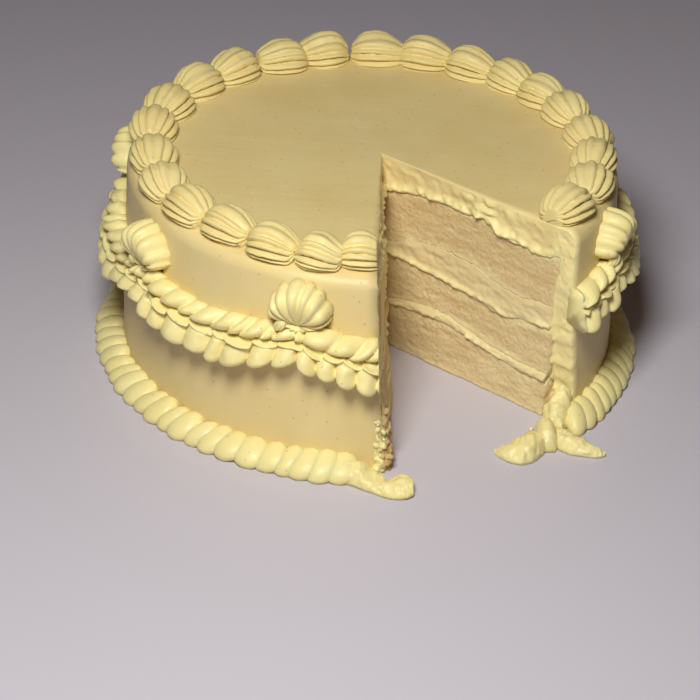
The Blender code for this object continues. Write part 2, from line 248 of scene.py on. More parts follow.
def grid_faces(start, rows, columns, wrap=False):
    """Quads of a grid of points that starts at an index, row by row."""
    last = columns if wrap else columns - 1
    i, j = np.meshgrid(np.arange(rows - 1), np.arange(last), indexing="ij")
    k = (j + 1) % columns
    quads = np.stack([i * columns + j, i * columns + k, (i + 1) * columns + k,
                      (i + 1) * columns + j], -1)
    return (quads.reshape(-1, 4) + start).tolist()


def joined(name, grids, extra=()):
    """One closed mesh from grids of points in mm that share their borders."""
    points, faces, starts = [], [], []
    count = 0
    for grid in grids:
        rows, columns = grid.shape[:2]
        faces += grid_faces(count, rows, columns)
        starts.append(count)
        points.append(grid.reshape(-1, 3))
        count += rows * columns
    for face in extra:
        faces.append([starts[g] + i * grids[g].shape[1] + j for g, i, j in face])
    mesh = bpy.data.meshes.new(name)
    mesh.from_pydata((np.concatenate(points) * MM).tolist(), [], faces)
    bm = bmesh.new()
    bm.from_mesh(mesh)
    bmesh.ops.remove_doubles(bm, verts=bm.verts[:], dist=2e-6)
    bmesh.ops.recalc_face_normals(bm, faces=bm.faces[:])
    bm.to_mesh(mesh)
    bm.free()
    mesh.shade_smooth()
    return mesh


def read_points(mesh):
    """Points of a mesh in millimetres."""
    points = np.empty(len(mesh.vertices) * 3)
    mesh.vertices.foreach_get("co", points)
    return points.reshape(-1, 3) / MM


def write_points(mesh, points):
    """Put points in millimetres back into a mesh."""
    mesh.vertices.foreach_set("co", (points * MM).ravel())
    mesh.update()


def add_tone(mesh, name, values):
    """Number on every point that a material can read."""
    layer = mesh.attributes.new(name, "FLOAT", "POINT")
    layer.data.foreach_set("value", np.asarray(values, np.float32))


def add_object(name, mesh, material=None):
    """Put a mesh into the scene as an object."""
    old = bpy.data.objects.get(name)
    if old is not None:
        bpy.data.objects.remove(old, do_unlink=True)
    obj = bpy.data.objects.new(name, mesh)
    bpy.context.scene.collection.objects.link(obj)
    if material is not None:
        mesh.materials.clear()
        mesh.materials.append(material)
    return obj


def finish_piece(obj, slot, *nodes):
    """A finished piece rides on the cake and stands for its solids, which are hidden; the slot is not used."""
    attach(obj, BODY)
    if nodes:
        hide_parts(*nodes)


def closed_body(name, rings, first, last):
    """Closed mesh through rings of points [ring, point, xyz] with a point at either end."""
    rings = np.asarray(rings, float)
    count, around = rings.shape[:2]
    points = np.concatenate([rings.reshape(-1, 3), [first], [last]])
    faces = grid_faces(0, count, around, wrap=True)
    a, b = count * around, count * around + 1
    end = (count - 1) * around
    for j in range(around):
        k = (j + 1) % around
        faces.append([a, k, j])
        faces.append([b, end + j, end + k])
    mesh = bpy.data.meshes.new(name)
    mesh.from_pydata(points.tolist(), [], faces)
    bm = bmesh.new()
    bm.from_mesh(mesh)
    bmesh.ops.recalc_face_normals(bm, faces=bm.faces[:])
    bm.to_mesh(mesh)
    bm.free()
    mesh.shade_smooth()
    return mesh


# ---------------------------------------------------------------- materials

def link(tree, a, b):
    """Join two sockets."""
    tree.links.new(a, b)


def node(tree, kind, **values):
    """New node with properties set, and sockets by their name with underscores for spaces."""
    made = tree.nodes.new(kind)
    for key, value in values.items():
        if hasattr(made, key) and key not in made.inputs:
            setattr(made, key, value)
        else:
            made.inputs[key.replace("_", " ")].default_value = value
    return made


def texture_place(tree, scale=(1.0, 1.0, 1.0), turn=(0.0, 0.0, 0.0)):
    """Object coordinates, stretched and turned."""
    coords = node(tree, "ShaderNodeTexCoord")
    mapping = node(tree, "ShaderNodeMapping")
    mapping.inputs["Scale"].default_value = scale
    mapping.inputs["Rotation"].default_value = turn
    link(tree, coords.outputs["Object"], mapping.inputs["Vector"])
    return mapping.outputs["Vector"]


def ramp(tree, value, low, high, a=0.0, b=1.0):
    """Straight ramp of a value from a at low to b at high."""
    made = node(tree, "ShaderNodeMapRange")
    made.inputs["From Min"].default_value = low
    made.inputs["From Max"].default_value = high
    made.inputs["To Min"].default_value = a
    made.inputs["To Max"].default_value = b
    link(tree, value, made.inputs["Value"])
    return made.outputs["Result"]


def mixed(tree, factor, a, b):
    """Colour between two colours, each a socket or a plain colour."""
    made = node(tree, "ShaderNodeMix", data_type="RGBA")
    colours = [s for s in made.inputs if s.type == "RGBA"]
    for socket, value in ((made.inputs[0], factor), (colours[0], a), (colours[1], b)):
        if isinstance(value, bpy.types.NodeSocket):
            link(tree, value, socket)
        elif isinstance(value, (int, float)):
            socket.default_value = value
        else:
            socket.default_value = (*value[:3], 1.0)
    return [s for s in made.outputs if s.type == "RGBA"][0]


def noise_node(tree, place, scale, detail=2.0, rough=0.5):
    """Factor of a noise texture."""
    made = node(tree, "ShaderNodeTexNoise")
    made.inputs["Scale"].default_value = scale
    made.inputs["Detail"].default_value = detail
    made.inputs["Roughness"].default_value = rough
    link(tree, place, made.inputs["Vector"])
    return made.outputs[0]


def bumped(tree, height, strength, distance, before=None):
    """Normal of a bump, on top of another."""
    made = node(tree, "ShaderNodeBump")
    made.inputs["Strength"].default_value = strength
    made.inputs["Distance"].default_value = distance
    link(tree, height, made.inputs["Height"])
    if before is not None:
        link(tree, before, made.inputs["Normal"])
    return made.outputs["Normal"]


def new_material(name, colour):
    """Empty principled material and its shader."""
    material = bpy.data.materials.get(name)
    if material is not None:
        bpy.data.materials.remove(material)
    material = bpy.data.materials.new(name)
    material.use_nodes = True
    material.diffuse_color = (*colour[:3], 1.0)
    return material, material.node_tree, material.node_tree.nodes["Principled BSDF"]


def cream_material(name, colour, roughness, relief, specks=True, streaks=False, fresh_and_highlight=None):
    """Buttercream: soft, slightly see-through, with vanilla specks and fine marks."""
    material, tree, shader = new_material(name, colour)
    place = texture_place(tree)
    cloud = ramp(tree, noise_node(tree, place, 38.0, 3.0), 0.3, 0.7)
    deep = tuple(c * f for c, f in zip(colour[:3], (0.95, 0.92, 0.84)))
    body = mixed(tree, cloud, deep, colour[:3])
    # Lighter tone from the mesh: fresh cream on the cut, and a painted highlight on its ridges.
    if fresh_and_highlight is not None:
        tone = node(tree, "ShaderNodeAttribute", attribute_name="fresh_and_highlight")
        body = mixed(tree, tone.outputs["Fac"], body, fresh_and_highlight[:3])
    if specks:
        cells = node(tree, "ShaderNodeTexVoronoi")
        cells.inputs["Scale"].default_value = 190.0
        link(tree, place, cells.inputs["Vector"])
        speck = ramp(tree, cells.outputs["Distance"], 0.03, 0.12, 0.42, 0.0)
        body = mixed(tree, speck, body, (0.16, 0.10, 0.05))
    link(tree, body, shader.inputs["Base Color"])
    shader.inputs["Roughness"].default_value = roughness
    shader.inputs["IOR"].default_value = 1.45
    shader.inputs["Subsurface Weight"].default_value = 0.22
    shader.inputs["Subsurface Radius"].default_value = (1.0, 0.62, 0.30)
    shader.inputs["Subsurface Scale"].default_value = 0.0035
    normal = bumped(tree, noise_node(tree, place, 420.0, 4.0, 0.6), 0.25 * relief, 0.0006)
    if streaks:
        drawn = texture_place(tree, (26.0, 150.0, 60.0), (0.0, 0.0, math.radians(24.0)))
        normal = bumped(tree, noise_node(tree, drawn, 1.0, 3.0, 0.55), 0.22, 0.0010, normal)
        broad = texture_place(tree, (9.0, 26.0, 22.0), (0.0, 0.0, math.radians(-12.0)))
        normal = bumped(tree, noise_node(tree, broad, 1.0, 2.0), 0.20, 0.003, normal)
    link(tree, normal, shader.inputs["Normal"])
    return material


def sponge_material(name, colour, cream):
    """Open crumb: pores darkened as painted shade and faint level strata, with cream smeared on where the knife
    passed.
    """
    material, tree, shader = new_material(name, colour)

    def shade(*factors):
        return tuple(min(1.0, c * f) for c, f in zip(colour[:3], factors))

    place = texture_place(tree)
    level = texture_place(tree, (60.0, 60.0, 300.0))
    strata = ramp(tree, noise_node(tree, level, 1.0, 3.0, 0.6), 0.35, 0.68)
    body = mixed(tree, strata, shade(0.93, 0.90, 0.84), shade(1.06, 1.08, 1.12))
    grain = ramp(tree, noise_node(tree, place, 900.0, 3.0, 0.6), 0.42, 0.66, 0.0, 0.55)
    body = mixed(tree, grain, body, shade(0.84, 0.77, 0.66))
    pores = node(tree, "ShaderNodeTexVoronoi")
    pores.inputs["Scale"].default_value = 560.0
    link(tree, place, pores.inputs["Vector"])
    # Pores darkened as painted shade inside the holes.
    pore_shade = ramp(tree, pores.outputs["Distance"], 0.08, 0.26, 0.45, 0.0)
    body = mixed(tree, pore_shade, body, shade(0.66, 0.55, 0.42))
    # Browner tone: browner crumb in patches, and painted shade on the left cut face, near the apex and under the
    # icing lip.
    tone = node(tree, "ShaderNodeAttribute", attribute_name="brown_and_shade")
    body = mixed(tree, tone.outputs["Fac"], body, shade(0.70, 0.55, 0.36))
    smear = node(tree, "ShaderNodeAttribute", attribute_name="smear")
    body = mixed(tree, smear.outputs["Fac"], body, cream[:3])
    link(tree, body, shader.inputs["Base Color"])
    shader.inputs["Roughness"].default_value = 0.9
    shader.inputs["Specular IOR Level"].default_value = 0.2
    shader.inputs["Subsurface Weight"].default_value = 0.15
    shader.inputs["Subsurface Radius"].default_value = (1.0, 0.6, 0.35)
    shader.inputs["Subsurface Scale"].default_value = 0.002
    normal = bumped(tree, noise_node(tree, place, 620.0, 4.0, 0.7), 0.34, 0.0010)
    normal = bumped(tree, pores.outputs["Distance"], 0.30, 0.0008, normal)
    link(tree, normal, shader.inputs["Normal"])
    return material


def crumbed_material(name, cream, sponge, fresh_and_highlight):
    """Cut cream with crumb dragged through it, lighter where it stands up in a ridge: clean cream there, and a
    painted highlight.
    """
    material = cream_material(name, cream, 0.55, 1.0, specks=False)
    tree = material.node_tree
    shader = tree.nodes["Principled BSDF"]
    place = texture_place(tree)
    clean = shader.inputs["Base Color"].links[0].from_socket
    broad = ramp(tree, noise_node(tree, place, 70.0, 3.0, 0.6), 0.42, 0.62, 0.0, 0.75)
    body = mixed(tree, broad, clean, tuple(0.5 * (a + b) for a, b in zip(cream[:3], sponge[:3])))
    fine = ramp(tree, noise_node(tree, place, 480.0, 3.0, 0.65), 0.55, 0.70, 0.0, 0.65)
    body = mixed(tree, fine, body, sponge[:3])
    # Darker towards the sponge colour: crumb drawn through the cream, and painted shade on the left cut face.
    tone = node(tree, "ShaderNodeAttribute", attribute_name="dragged")
    body = mixed(tree, tone.outputs["Fac"], body, tuple(0.96 * c for c in sponge[:3]))
    # Lighter on the ridges: clean cream, and a painted highlight.
    tone = node(tree, "ShaderNodeAttribute", attribute_name="fresh_and_highlight")
    body = mixed(tree, tone.outputs["Fac"], body, fresh_and_highlight[:3])
    link(tree, body, shader.inputs["Base Color"])
    return material


def floor_material(name, colour):
    """Plain matt floor."""
    material, _, shader = new_material(name, colour)
    shader.inputs["Base Color"].default_value = (*colour[:3], 1.0)
    shader.inputs["Roughness"].default_value = 0.6
    return material


def finish(name):
    """Material of one of the cake's foods, made when it is first asked for."""
    material = bpy.data.materials.get(name)
    if material is not None:
        return material
    colours = bpy.context.scene.cake_colours
    if name == "smooth_buttercream":
        return cream_material(name, colours.buttercream, 0.46, 0.5, streaks=True, fresh_and_highlight=colours.piping)
    if name == "piped_buttercream":
        return cream_material(name, colours.piping, 0.42, 0.6)
    # The shells take a darker copy of the piped cream, as painted shade on the top-facing shells.
    if name == "shaded_shell_buttercream":
        return cream_material(name, colours.shells, 0.48, 0.8)
    if name == "cut_cream":
        return crumbed_material(name, colours.filling, colours.sponge, colours.piping)
    return sponge_material("cut_sponge", colours.sponge, colours.filling)


# ---------------------------------------------------------------- body of the cake

STATIONS = 120                   # round the coat, from the right cut to the left cut
HIDDEN = 15                      # of them on its hidden inside
TOP_COLUMNS = 180                # from the apex to the side icing
EDGE_COLUMNS = 16                # across the side icing
RIM_ROWS = 24                    # from the top, over the rounded edge, to the lip's height
WALL_ROWS = 88


def coat_profile():
    """Distance from the axis and height of each row, from the top's edge down to the foot."""
    arc = RIM * math.pi / 2.0
    straight = HEIGHT - RIM - LIP
    rows = []
    for row in range(RIM_ROWS + 1):
        way = (arc + straight) * row / RIM_ROWS
        if way < arc:
            turn = way / RIM
            rows.append((RADIUS_TOP - RIM + RIM * math.sin(turn), HEIGHT - RIM * (1 - math.cos(turn))))
        else:
            z = HEIGHT - RIM - (way - arc)
            rows.append((float(wall_radius(z)), z))
    for row in range(1, WALL_ROWS + 1):
        z = LIP * (1.0 - row / WALL_ROWS)
        rows.append((float(wall_radius(z)), z))
    return np.array(rows)


def coat_mesh():
    """The coat as one closed mesh, still plain, with its cut faces."""
    directions = np.linspace(CUT_RIGHT_ANGLE, 270.0, STATIONS + 1)
    profile = coat_profile()
    inner = np.arange(TOP_COLUMNS + 1) / TOP_COLUMNS
    outer = np.arange(1, EDGE_COLUMNS + 1) / EDGE_COLUMNS

    # the inner edge of the coat on the side, at each row of the profile
    inner_z = np.concatenate([lerp(HEIGHT, LIP, np.arange(RIM_ROWS + 1) / RIM_ROWS),
                              profile[RIM_ROWS + 1:, 1]])

    def inner_reach(direction, z):
        """From the apex line to the coat's inner edge, which strays where it is cut."""
        stray = 0.0
        if direction == directions[0]:
            stray = crumb_edge(z, 0)
        elif direction == directions[-1]:
            stray = crumb_edge(z, 1)
        return from_apex(direction, ICING_INNER + stray * ease((LIP + 2.0 - z) / 4.0), z)

    skin = []
    for direction in directions:
        reach = inner_reach(direction, HEIGHT)
        edge = from_apex(direction, RADIUS_TOP - RIM, HEIGHT)
        top_s = np.concatenate([reach * inner, lerp(reach, edge, outer)])
        top = spoke(direction, top_s, np.full_like(top_s, HEIGHT))
        side = spoke(direction, from_apex(direction, profile[1:, 0], profile[1:, 1]), profile[1:, 1])
        skin.append(np.concatenate([top, side]))
    grids = [np.array(skin)]

    ends = []
    for direction, side in ((directions[0], 0), (directions[-1], 1)):
        s_top = inner * (inner_reach(direction, HEIGHT))
        lip = boundary(5, s_top, side)
        lip[-1] = LIP
        lip = lerp(lip, LIP, ease((inner - 0.94) / 0.06))
        share = (np.arange(RIM_ROWS + 1) / RIM_ROWS)[:, None]
        z = lerp(HEIGHT, lip[None, :], share)
        s = inner_reach(direction, z) * inner[None, :]
        strip = spoke(direction, s, z)
        grids.append(strip)
        ends.append((z[-1], s[-1]))
        columns = np.arange(EDGE_COLUMNS + 1) / EDGE_COLUMNS
        s_in = inner_reach(direction, inner_z)[:, None]
        s_out = from_apex(direction, profile[:, 0], profile[:, 1])[:, None]
        edge_z = lerp(inner_z[:, None], profile[:, 1][:, None], columns[None, :])
        edge_s = lerp(s_in, s_out, columns[None, :])
        grids.append(spoke(direction, edge_s, edge_z))

    ceiling, inside = [], []
    below = inner_z[RIM_ROWS:]
    for step in range(HIDDEN + 1):
        direction = directions[step * STATIONS // HIDDEN]
        t = step / HIDDEN
        flat = LIP + 0.0 * ends[0][0]
        z = lerp(lerp(ends[0][0], flat, ease(t * 6.0)), ends[1][0], ease((t - 1.0) * 6.0 + 1.0))
        z = lerp(ends[0][0][0], z, ease(inner * 30.0))
        z[-1] = LIP
        if step == 0:
            z = ends[0][0]
        if step == HIDDEN:
            z = ends[1][0]
        ceiling.append(spoke(direction, inner_reach(direction, z) * inner, z))
        inside.append(spoke(direction, inner_reach(direction, below), below))
    grids += [np.array(ceiling), np.array(inside)]

    # the ring that the coat stands on, one face for each hidden station
    foot = []
    last_row = grids[0].shape[1] - 1
    fine = STATIONS // HIDDEN
    edge_row = len(profile) - 1
    for step in range(HIDDEN):
        face = [(0, step * fine + k, last_row) for k in range(fine + 1)]
        if step == HIDDEN - 1:
            face += [(4, edge_row, c) for c in range(EDGE_COLUMNS - 1, 0, -1)]
        face += [(6, step + 1, len(below) - 1), (6, step, len(below) - 1)]
        if step == 0:
            face += [(2, edge_row, c) for c in range(1, EDGE_COLUMNS)]
        foot.append(face)
    return joined("icing", grids, foot)


def on_cuts(points):
    """Which points lie on the right and on the left cut, and how far out they are on it."""
    x, y, z = points.T
    ax, ay = apex(z)
    right = np.abs(points[:, :2] @ RIGHT_ACROSS - cut_right_offset(z)) < 0.02
    s_right = (x - ax) * RIGHT_OUT[0] + (y - ay) * RIGHT_OUT[1]
    left = np.abs(x - cut_left_x(z)) < 0.02
    s_left = ay - y
    return right & (s_right > -0.02), s_right, left & (s_left > -0.02), s_left


def cut_direction(right, left):
    """Way out of the cake for points on either cut, in the plane."""
    out = np.zeros((len(right), 2))
    out[right] -= RIGHT_ACROSS
    out[left] += (1.0, 0.0)
    size = np.linalg.norm(out, axis=1)
    out[size > 0] /= size[size > 0][:, None]
    return out


def tear_back(points, amount=1.0):
    """Turn the coat away from the foot of the right cut, where the slice tore it off."""
    angle = np.degrees(np.arctan2(points[:, 1], points[:, 0]))
    radius = np.hypot(points[:, 0], points[:, 1])
    height = np.clip(1.0 - points[:, 2] / TORN_TOP, 0.0, 1.0)
    ragged = 1.0 + 0.25 * wave(points[:, 2], 5.0, 91) + 0.2 * wave(points[:, 2], 2.0, 92)
    near = 1.0 - ease((angle - CUT_RIGHT_ANGLE - 0.5) / 18.0)
    near[(angle < -60.0) | (angle > 0.0)] = 0.0
    turn = np.radians(TORN_DEGREES * amount * height * ragged * near * ease((radius - 98.5) / 2.5))
    c, s = np.cos(turn), np.sin(turn)
    moved = points.copy()
    moved[:, 0] = points[:, 0] * c - points[:, 1] * s
    moved[:, 1] = points[:, 0] * s + points[:, 1] * c
    return moved


def build_coat(settings):
    """Coat with its soft unevenness, its torn lip and its torn corner."""
    mesh = coat_mesh()
    points = read_points(mesh)
    x, y, z = points.T
    radius = np.hypot(x, y)
    right, s_right, left, s_left = on_cuts(points)
    uneven = settings.unevenness / MM

    # broad unevenness of the side and of the top, both spread by hand
    side = ease((radius - 104.0) / 3.0) * ease((HEIGHT + 2.0 - z) / 6.0)
    swell = 1.0 * noise(points, (46.0, 46.0, 60.0), 3) + 0.35 * noise(points, 17.0, 4)
    push = side * uneven * swell
    points[:, 0] += push * x / np.maximum(radius, 1.0)
    points[:, 1] += push * y / np.maximum(radius, 1.0)
    top = ease((z - HEIGHT + 1.5) / 1.5)
    points[:, 2] += top * uneven * (0.9 * noise(points, (50.0, 34.0, 50.0), 5) - 0.3)

    # the cut through the icing
    fresh_and_highlight = np.zeros(len(points))
    out = cut_direction(right, left)
    for flag, s, number in ((right, s_right, 0), (left, s_left, 1)):
        lip = boundary(5, s, number)
        above = z - lip
        inside = ease((ICING_INNER - 1.5 - radius) / 3.0)
        flat = np.stack([s, z, s * 0.0], -1)
        ridge = np.exp(-((above - 1.7) / 1.5) ** 2) * (0.95 + 0.6 * noise(flat, (5.0, 3.0, 1.0), 7 + number)
                                                       + 0.7 * noise(flat, (2.2, 1.6, 1.0), 8 + number))
        shelf = 0.55 * noise(flat, (11.0, 4.5, 1.0), 9 + number) + 0.35 * noise(flat, (3.4, 2.2, 1.0), 11 + number)
        fine = 0.16 * noise(flat, (1.4, 1.1, 1.0), 13 + number)
        fade = ease((HEIGHT - z) / 2.5)
        flap = np.exp(-((s - 62.0) / 16.0) ** 2) * np.abs(noise(flat, (6.0, 3.2, 1.0), 21 + number))
        relief = inside * (ridge * 1.35 + shelf * fade + 2.2 * flap * fade) + fine * (0.3 + 0.7 * fade)
        if number == 0:
            # Lighter tone on the lip's ridge and the torn flap: fresh cream, and a painted highlight where they
            # stand out.
            tone = 0.25 + 0.75 * np.clip(ridge + flap, 0.0, 1.0) * inside + 0.45 * (1.0 - inside)
            fresh_and_highlight[flag] = np.clip(tone, 0.0, 1.0)[flag]
        # the side icing was torn rather than cut
        coat = 1.0 - inside
        relief += coat * fade * (0.40 * noise(flat, (4.6, 5.5, 1.0), 15 + number)
                                 + 0.30 * noise(flat, (1.9, 2.0, 1.0), 17 + number))
        relief = relief * ease((z - 0.2) / 2.0)
        points[flag, :2] += out[flag] * relief[flag][:, None]
        points[flag, 2] += (0.25 * wave(s, 3.1, 19 + number) * ease((z - HEIGHT + 0.6) / 0.6))[flag]
    points = tear_back(points)
    write_points(mesh, points)
    add_tone(mesh, "fresh_and_highlight", fresh_and_highlight)
    obj = add_object("icing", mesh, finish("smooth_buttercream"))
    finish_piece(obj, "buttercream", "icing_coat")


def layer_points(lower, upper, columns_right, columns_left, rows, arc_steps):
    """Rows of points round a layer: out along the right cut, round the back, in along the left."""
    f_right = np.arange(columns_right + 1) / columns_right
    f_left = np.arange(columns_left, 0, -1) / columns_left
    arc = np.linspace(CUT_RIGHT_ANGLE, 270.0, arc_steps + 1)[1:-1]
    rings, info = [], []
    for row in range(rows + 1):
        share = row / rows
        s_est = f_right * 104.0
        z = lerp(boundary(lower, s_est, 0), boundary(upper, s_est, 0), share)
        z[f_right > 0.985] = lerp(z, lerp(LEVELS[lower], (LEVELS + [LIP])[upper], share), 0.0)[f_right > 0.985]
        reach = from_apex(CUT_RIGHT_ANGLE, ICING_INNER - 0.2 + crumb_edge(z, 0), z)
        right = spoke(CUT_RIGHT_ANGLE, reach * f_right, z)
        low, high = (LEVELS + [LIP])[lower], (LEVELS + [LIP])[upper]
        z_back = np.full(len(arc), lerp(low, high, share))
        back = spoke(arc, from_apex(arc, ICING_INNER - 1.5, z_back), z_back)
        s_est = f_left * 98.0
        z = lerp(boundary(lower, s_est, 1), boundary(upper, s_est, 1), share)
        reach = from_apex(270.0, ICING_INNER - 0.2 + crumb_edge(z, 1), z)
        left = spoke(270.0, reach * f_left, z)
        rings.append(np.concatenate([right, back, left]))
    kinds = np.concatenate([np.zeros(len(f_right)), np.full(len(arc), 2.0), np.ones(len(f_left))])
    return np.array(rings), kinds


def layer_body(name, rings):
    """Closed mesh of a layer: its side from rings of points, and a face above and below."""
    count, around = rings.shape[:2]
    faces = grid_faces(0, count, around, wrap=True)
    faces.append(list(range(around)))
    faces.append(list(range((count - 1) * around, count * around)))
    mesh = bpy.data.meshes.new(name)
    mesh.from_pydata((rings.reshape(-1, 3) * MM).tolist(), [], faces)
    bm = bmesh.new()
    bm.from_mesh(mesh)
    bmesh.ops.triangulate(bm, faces=[f for f in bm.faces if len(f.verts) > 4])
    bmesh.ops.recalc_face_normals(bm, faces=bm.faces[:])
    bm.to_mesh(mesh)
    bm.free()
    mesh.shade_smooth()
    return mesh


def face_distance(rings, kinds):
    """Distance out from the apex line along its cut, for every point."""
    x, y, z = rings[..., 0], rings[..., 1], rings[..., 2]
    ax, ay = apex(z)
    s = np.where(kinds == 0, (x - ax) * RIGHT_OUT[0] + (y - ay) * RIGHT_OUT[1], ay - y)
    return s


def build_layers(settings):
    """Sponges with their open crumb and fillings with their smeared cut."""
    names = (("sponge_bottom", "crumb_bottom", 0), ("filling_lower", "cream_lower", 1),
             ("sponge_middle", "crumb_middle", 2), ("filling_upper", "cream_upper", 3),
             ("sponge_top", "crumb_top", 4))
    for number, (solid, name, lower) in enumerate(names):
        sponge = number % 2 == 0
        low, high = (LEVELS + [LIP])[lower], (LEVELS + [LIP])[lower + 1]
        rows = max(8, int((high - low) / (0.62 if sponge else 0.5)))
        rings, kinds = layer_points(lower, lower + 1, 185, 120, rows, 26)
        s = face_distance(rings, kinds)
        share = (np.arange(rings.shape[0]) / (rings.shape[0] - 1))[:, None] + 0.0 * s
        flat = np.stack([s, rings[..., 2], kinds[None, :] * 50.0 + 0.0 * s], -1)
        height = rings[..., 2]
        if sponge:
            crumb = settings.crumb / MM
            torn = lerp(1.0, 0.55, lower / 4.0)      # the top layer was cut more cleanly
            relief = crumb * torn * (0.60 * noise(flat, (9.0, 2.6, 1.0), 101)
                                     + 0.40 * noise(flat, (2.6, 1.5, 1.0), 102)
                                     + 0.30 * noise(flat, (1.2, 0.9, 1.0), 103))
            pit = np.clip(noise(flat, (2.4, 1.6, 1.0), 104) - 0.45, 0.0, 1.0)
            relief -= 0.7 * pit + 0.25
            bulge = ease((70.0 - height) / 55.0) * ease((s - 14.0) / 40.0) * (kinds == 1)
            relief += bulge * (2.6 + 1.2 * noise(flat, (14.0, 9.0, 1.0), 105))
        else:
            relief = (0.55 + 0.45 * noise(flat, (8.0, 3.0, 1.0), 111)
                      + 0.30 * noise(flat, (2.6, 1.6, 1.0), 112)
                      + 0.14 * noise(flat, (1.1, 0.9, 1.0), 113))
            if lower == 3:
                edge = height - boundary(3, s, 0)
                bead = np.exp(-((edge - 1.6) / 1.2) ** 2) * (1.0 + 0.6 * wave(s, 6.0, 115))
                relief += 1.5 * bead * (0.75 + 0.6 * noise(flat, (2.4, 1.5, 1.0), 117))
            else:
                relief += 1.1 * np.exp(-((share - 0.45) / 0.3) ** 2) * (1.0 + wave(s, 7.0, 116)) \
                    * (0.75 + 0.6 * noise(flat, (2.4, 1.5, 1.0), 118))
            relief *= ease(share * 6.0) * ease((1.0 - share) * 6.0) * 0.85 + 0.15
        out = np.zeros(rings.shape[:2] + (2,))
        out[:, kinds == 0] = -RIGHT_ACROSS
        out[:, kinds == 1] = (1.0, 0.0)
        meeting = out[:, 0] * 0.0 + (-RIGHT_ACROSS + (1.0, 0.0))
        out[:, 0] = meeting / np.linalg.norm(meeting, axis=-1, keepdims=True)
        rings[..., :2] += out * relief[..., None]
        mesh = layer_body(name, rings)
        if not sponge:
            dragged_and_shade = 0.30 * noise(flat, (9.0, 3.0, 1.0), 124) + 0.15
            # Lighter tone along the filling's ridge: clean cream, and a painted highlight where it stands out.
            ridge = np.exp(-((share - 0.45) / 0.25) ** 2)
            if lower == 3:
                ridge = np.exp(-((edge - 1.9) / 1.5) ** 2)
                dragged_and_shade = dragged_and_shade + 0.65 * ease((share - 0.42) / 0.4) - 0.25 * np.exp(-((edge - 1.6) / 1.8) ** 2)
            ridge = ridge * (0.55 + 0.6 * noise(flat, (5.0, 2.4, 1.0), 125)) * (kinds == 0)
            add_tone(mesh, "fresh_and_highlight", np.clip(ridge, 0.0, 0.9).ravel())
            # The dragged tone is raised on the whole left cut face as painted shade.
            add_tone(mesh, "dragged", np.clip(dragged_and_shade + 0.4 * (kinds == 1), 0.0, 0.9).ravel())
        if sponge:
            below = height - boundary(lower, s, 0) if lower else height * 0.0 + 9.0
            above = boundary(lower + 1, s, 0) - height
            near = np.minimum(below, above)
            smear = np.clip(1.25 - near / (1.2 + 2.2 * np.abs(noise(flat, (4.0, 2.0, 1.0), 121))), 0, 1) * 0.8
            dab = np.clip(noise(flat, (4.0, 1.6, 1.0), 122) * 2.4 - 1.35, 0.0, 1.0) * 0.45
            low = ease((s - 30.0) / 55.0) * ease((40.0 - height) / 34.0) * (kinds == 0)
            smear = smear + low * (0.30 + 0.35 * noise(flat, (6.0, 3.0, 1.0), 126))
            # Browner near the apex, in the notch's inner corner, as painted shade; browner in random patches.
            brown_and_shade = 0.25 * np.exp(-(s / 7.0) ** 2) + 0.25 * np.clip(noise(flat, (14.0, 5.0, 1.0), 123) - 0.25, 0, 1)
            # Browner on the left cut face, which faces away from the key light, and towards the top under the icing
            # lip: painted shade.
            brown_and_shade = brown_and_shade + 0.30 * (kinds == 1) + 0.20 * ease((height - 52.0) / 24.0)
            if lower == 0:
                for place, z, size in ((91.0, 10.0, 2.6), (93.0, 3.0, 2.2), (86.0, 14.0, 1.6)):
                    brown_and_shade += 0.75 * np.exp(-((s - place) ** 2 + (height - z) ** 2) / size ** 2)
            add_tone(mesh, "smear", np.clip(smear + dab, 0.0, 1.0).ravel())
            add_tone(mesh, "brown_and_shade", np.clip(brown_and_shade, 0.0, 0.9).ravel())
        obj = add_object(name, mesh, finish("cut_sponge" if sponge else "cut_cream"))
        finish_piece(obj, "sponge" if sponge else "filling", solid)


# ---------------------------------------------------------------- piped shapes, each in a unit box

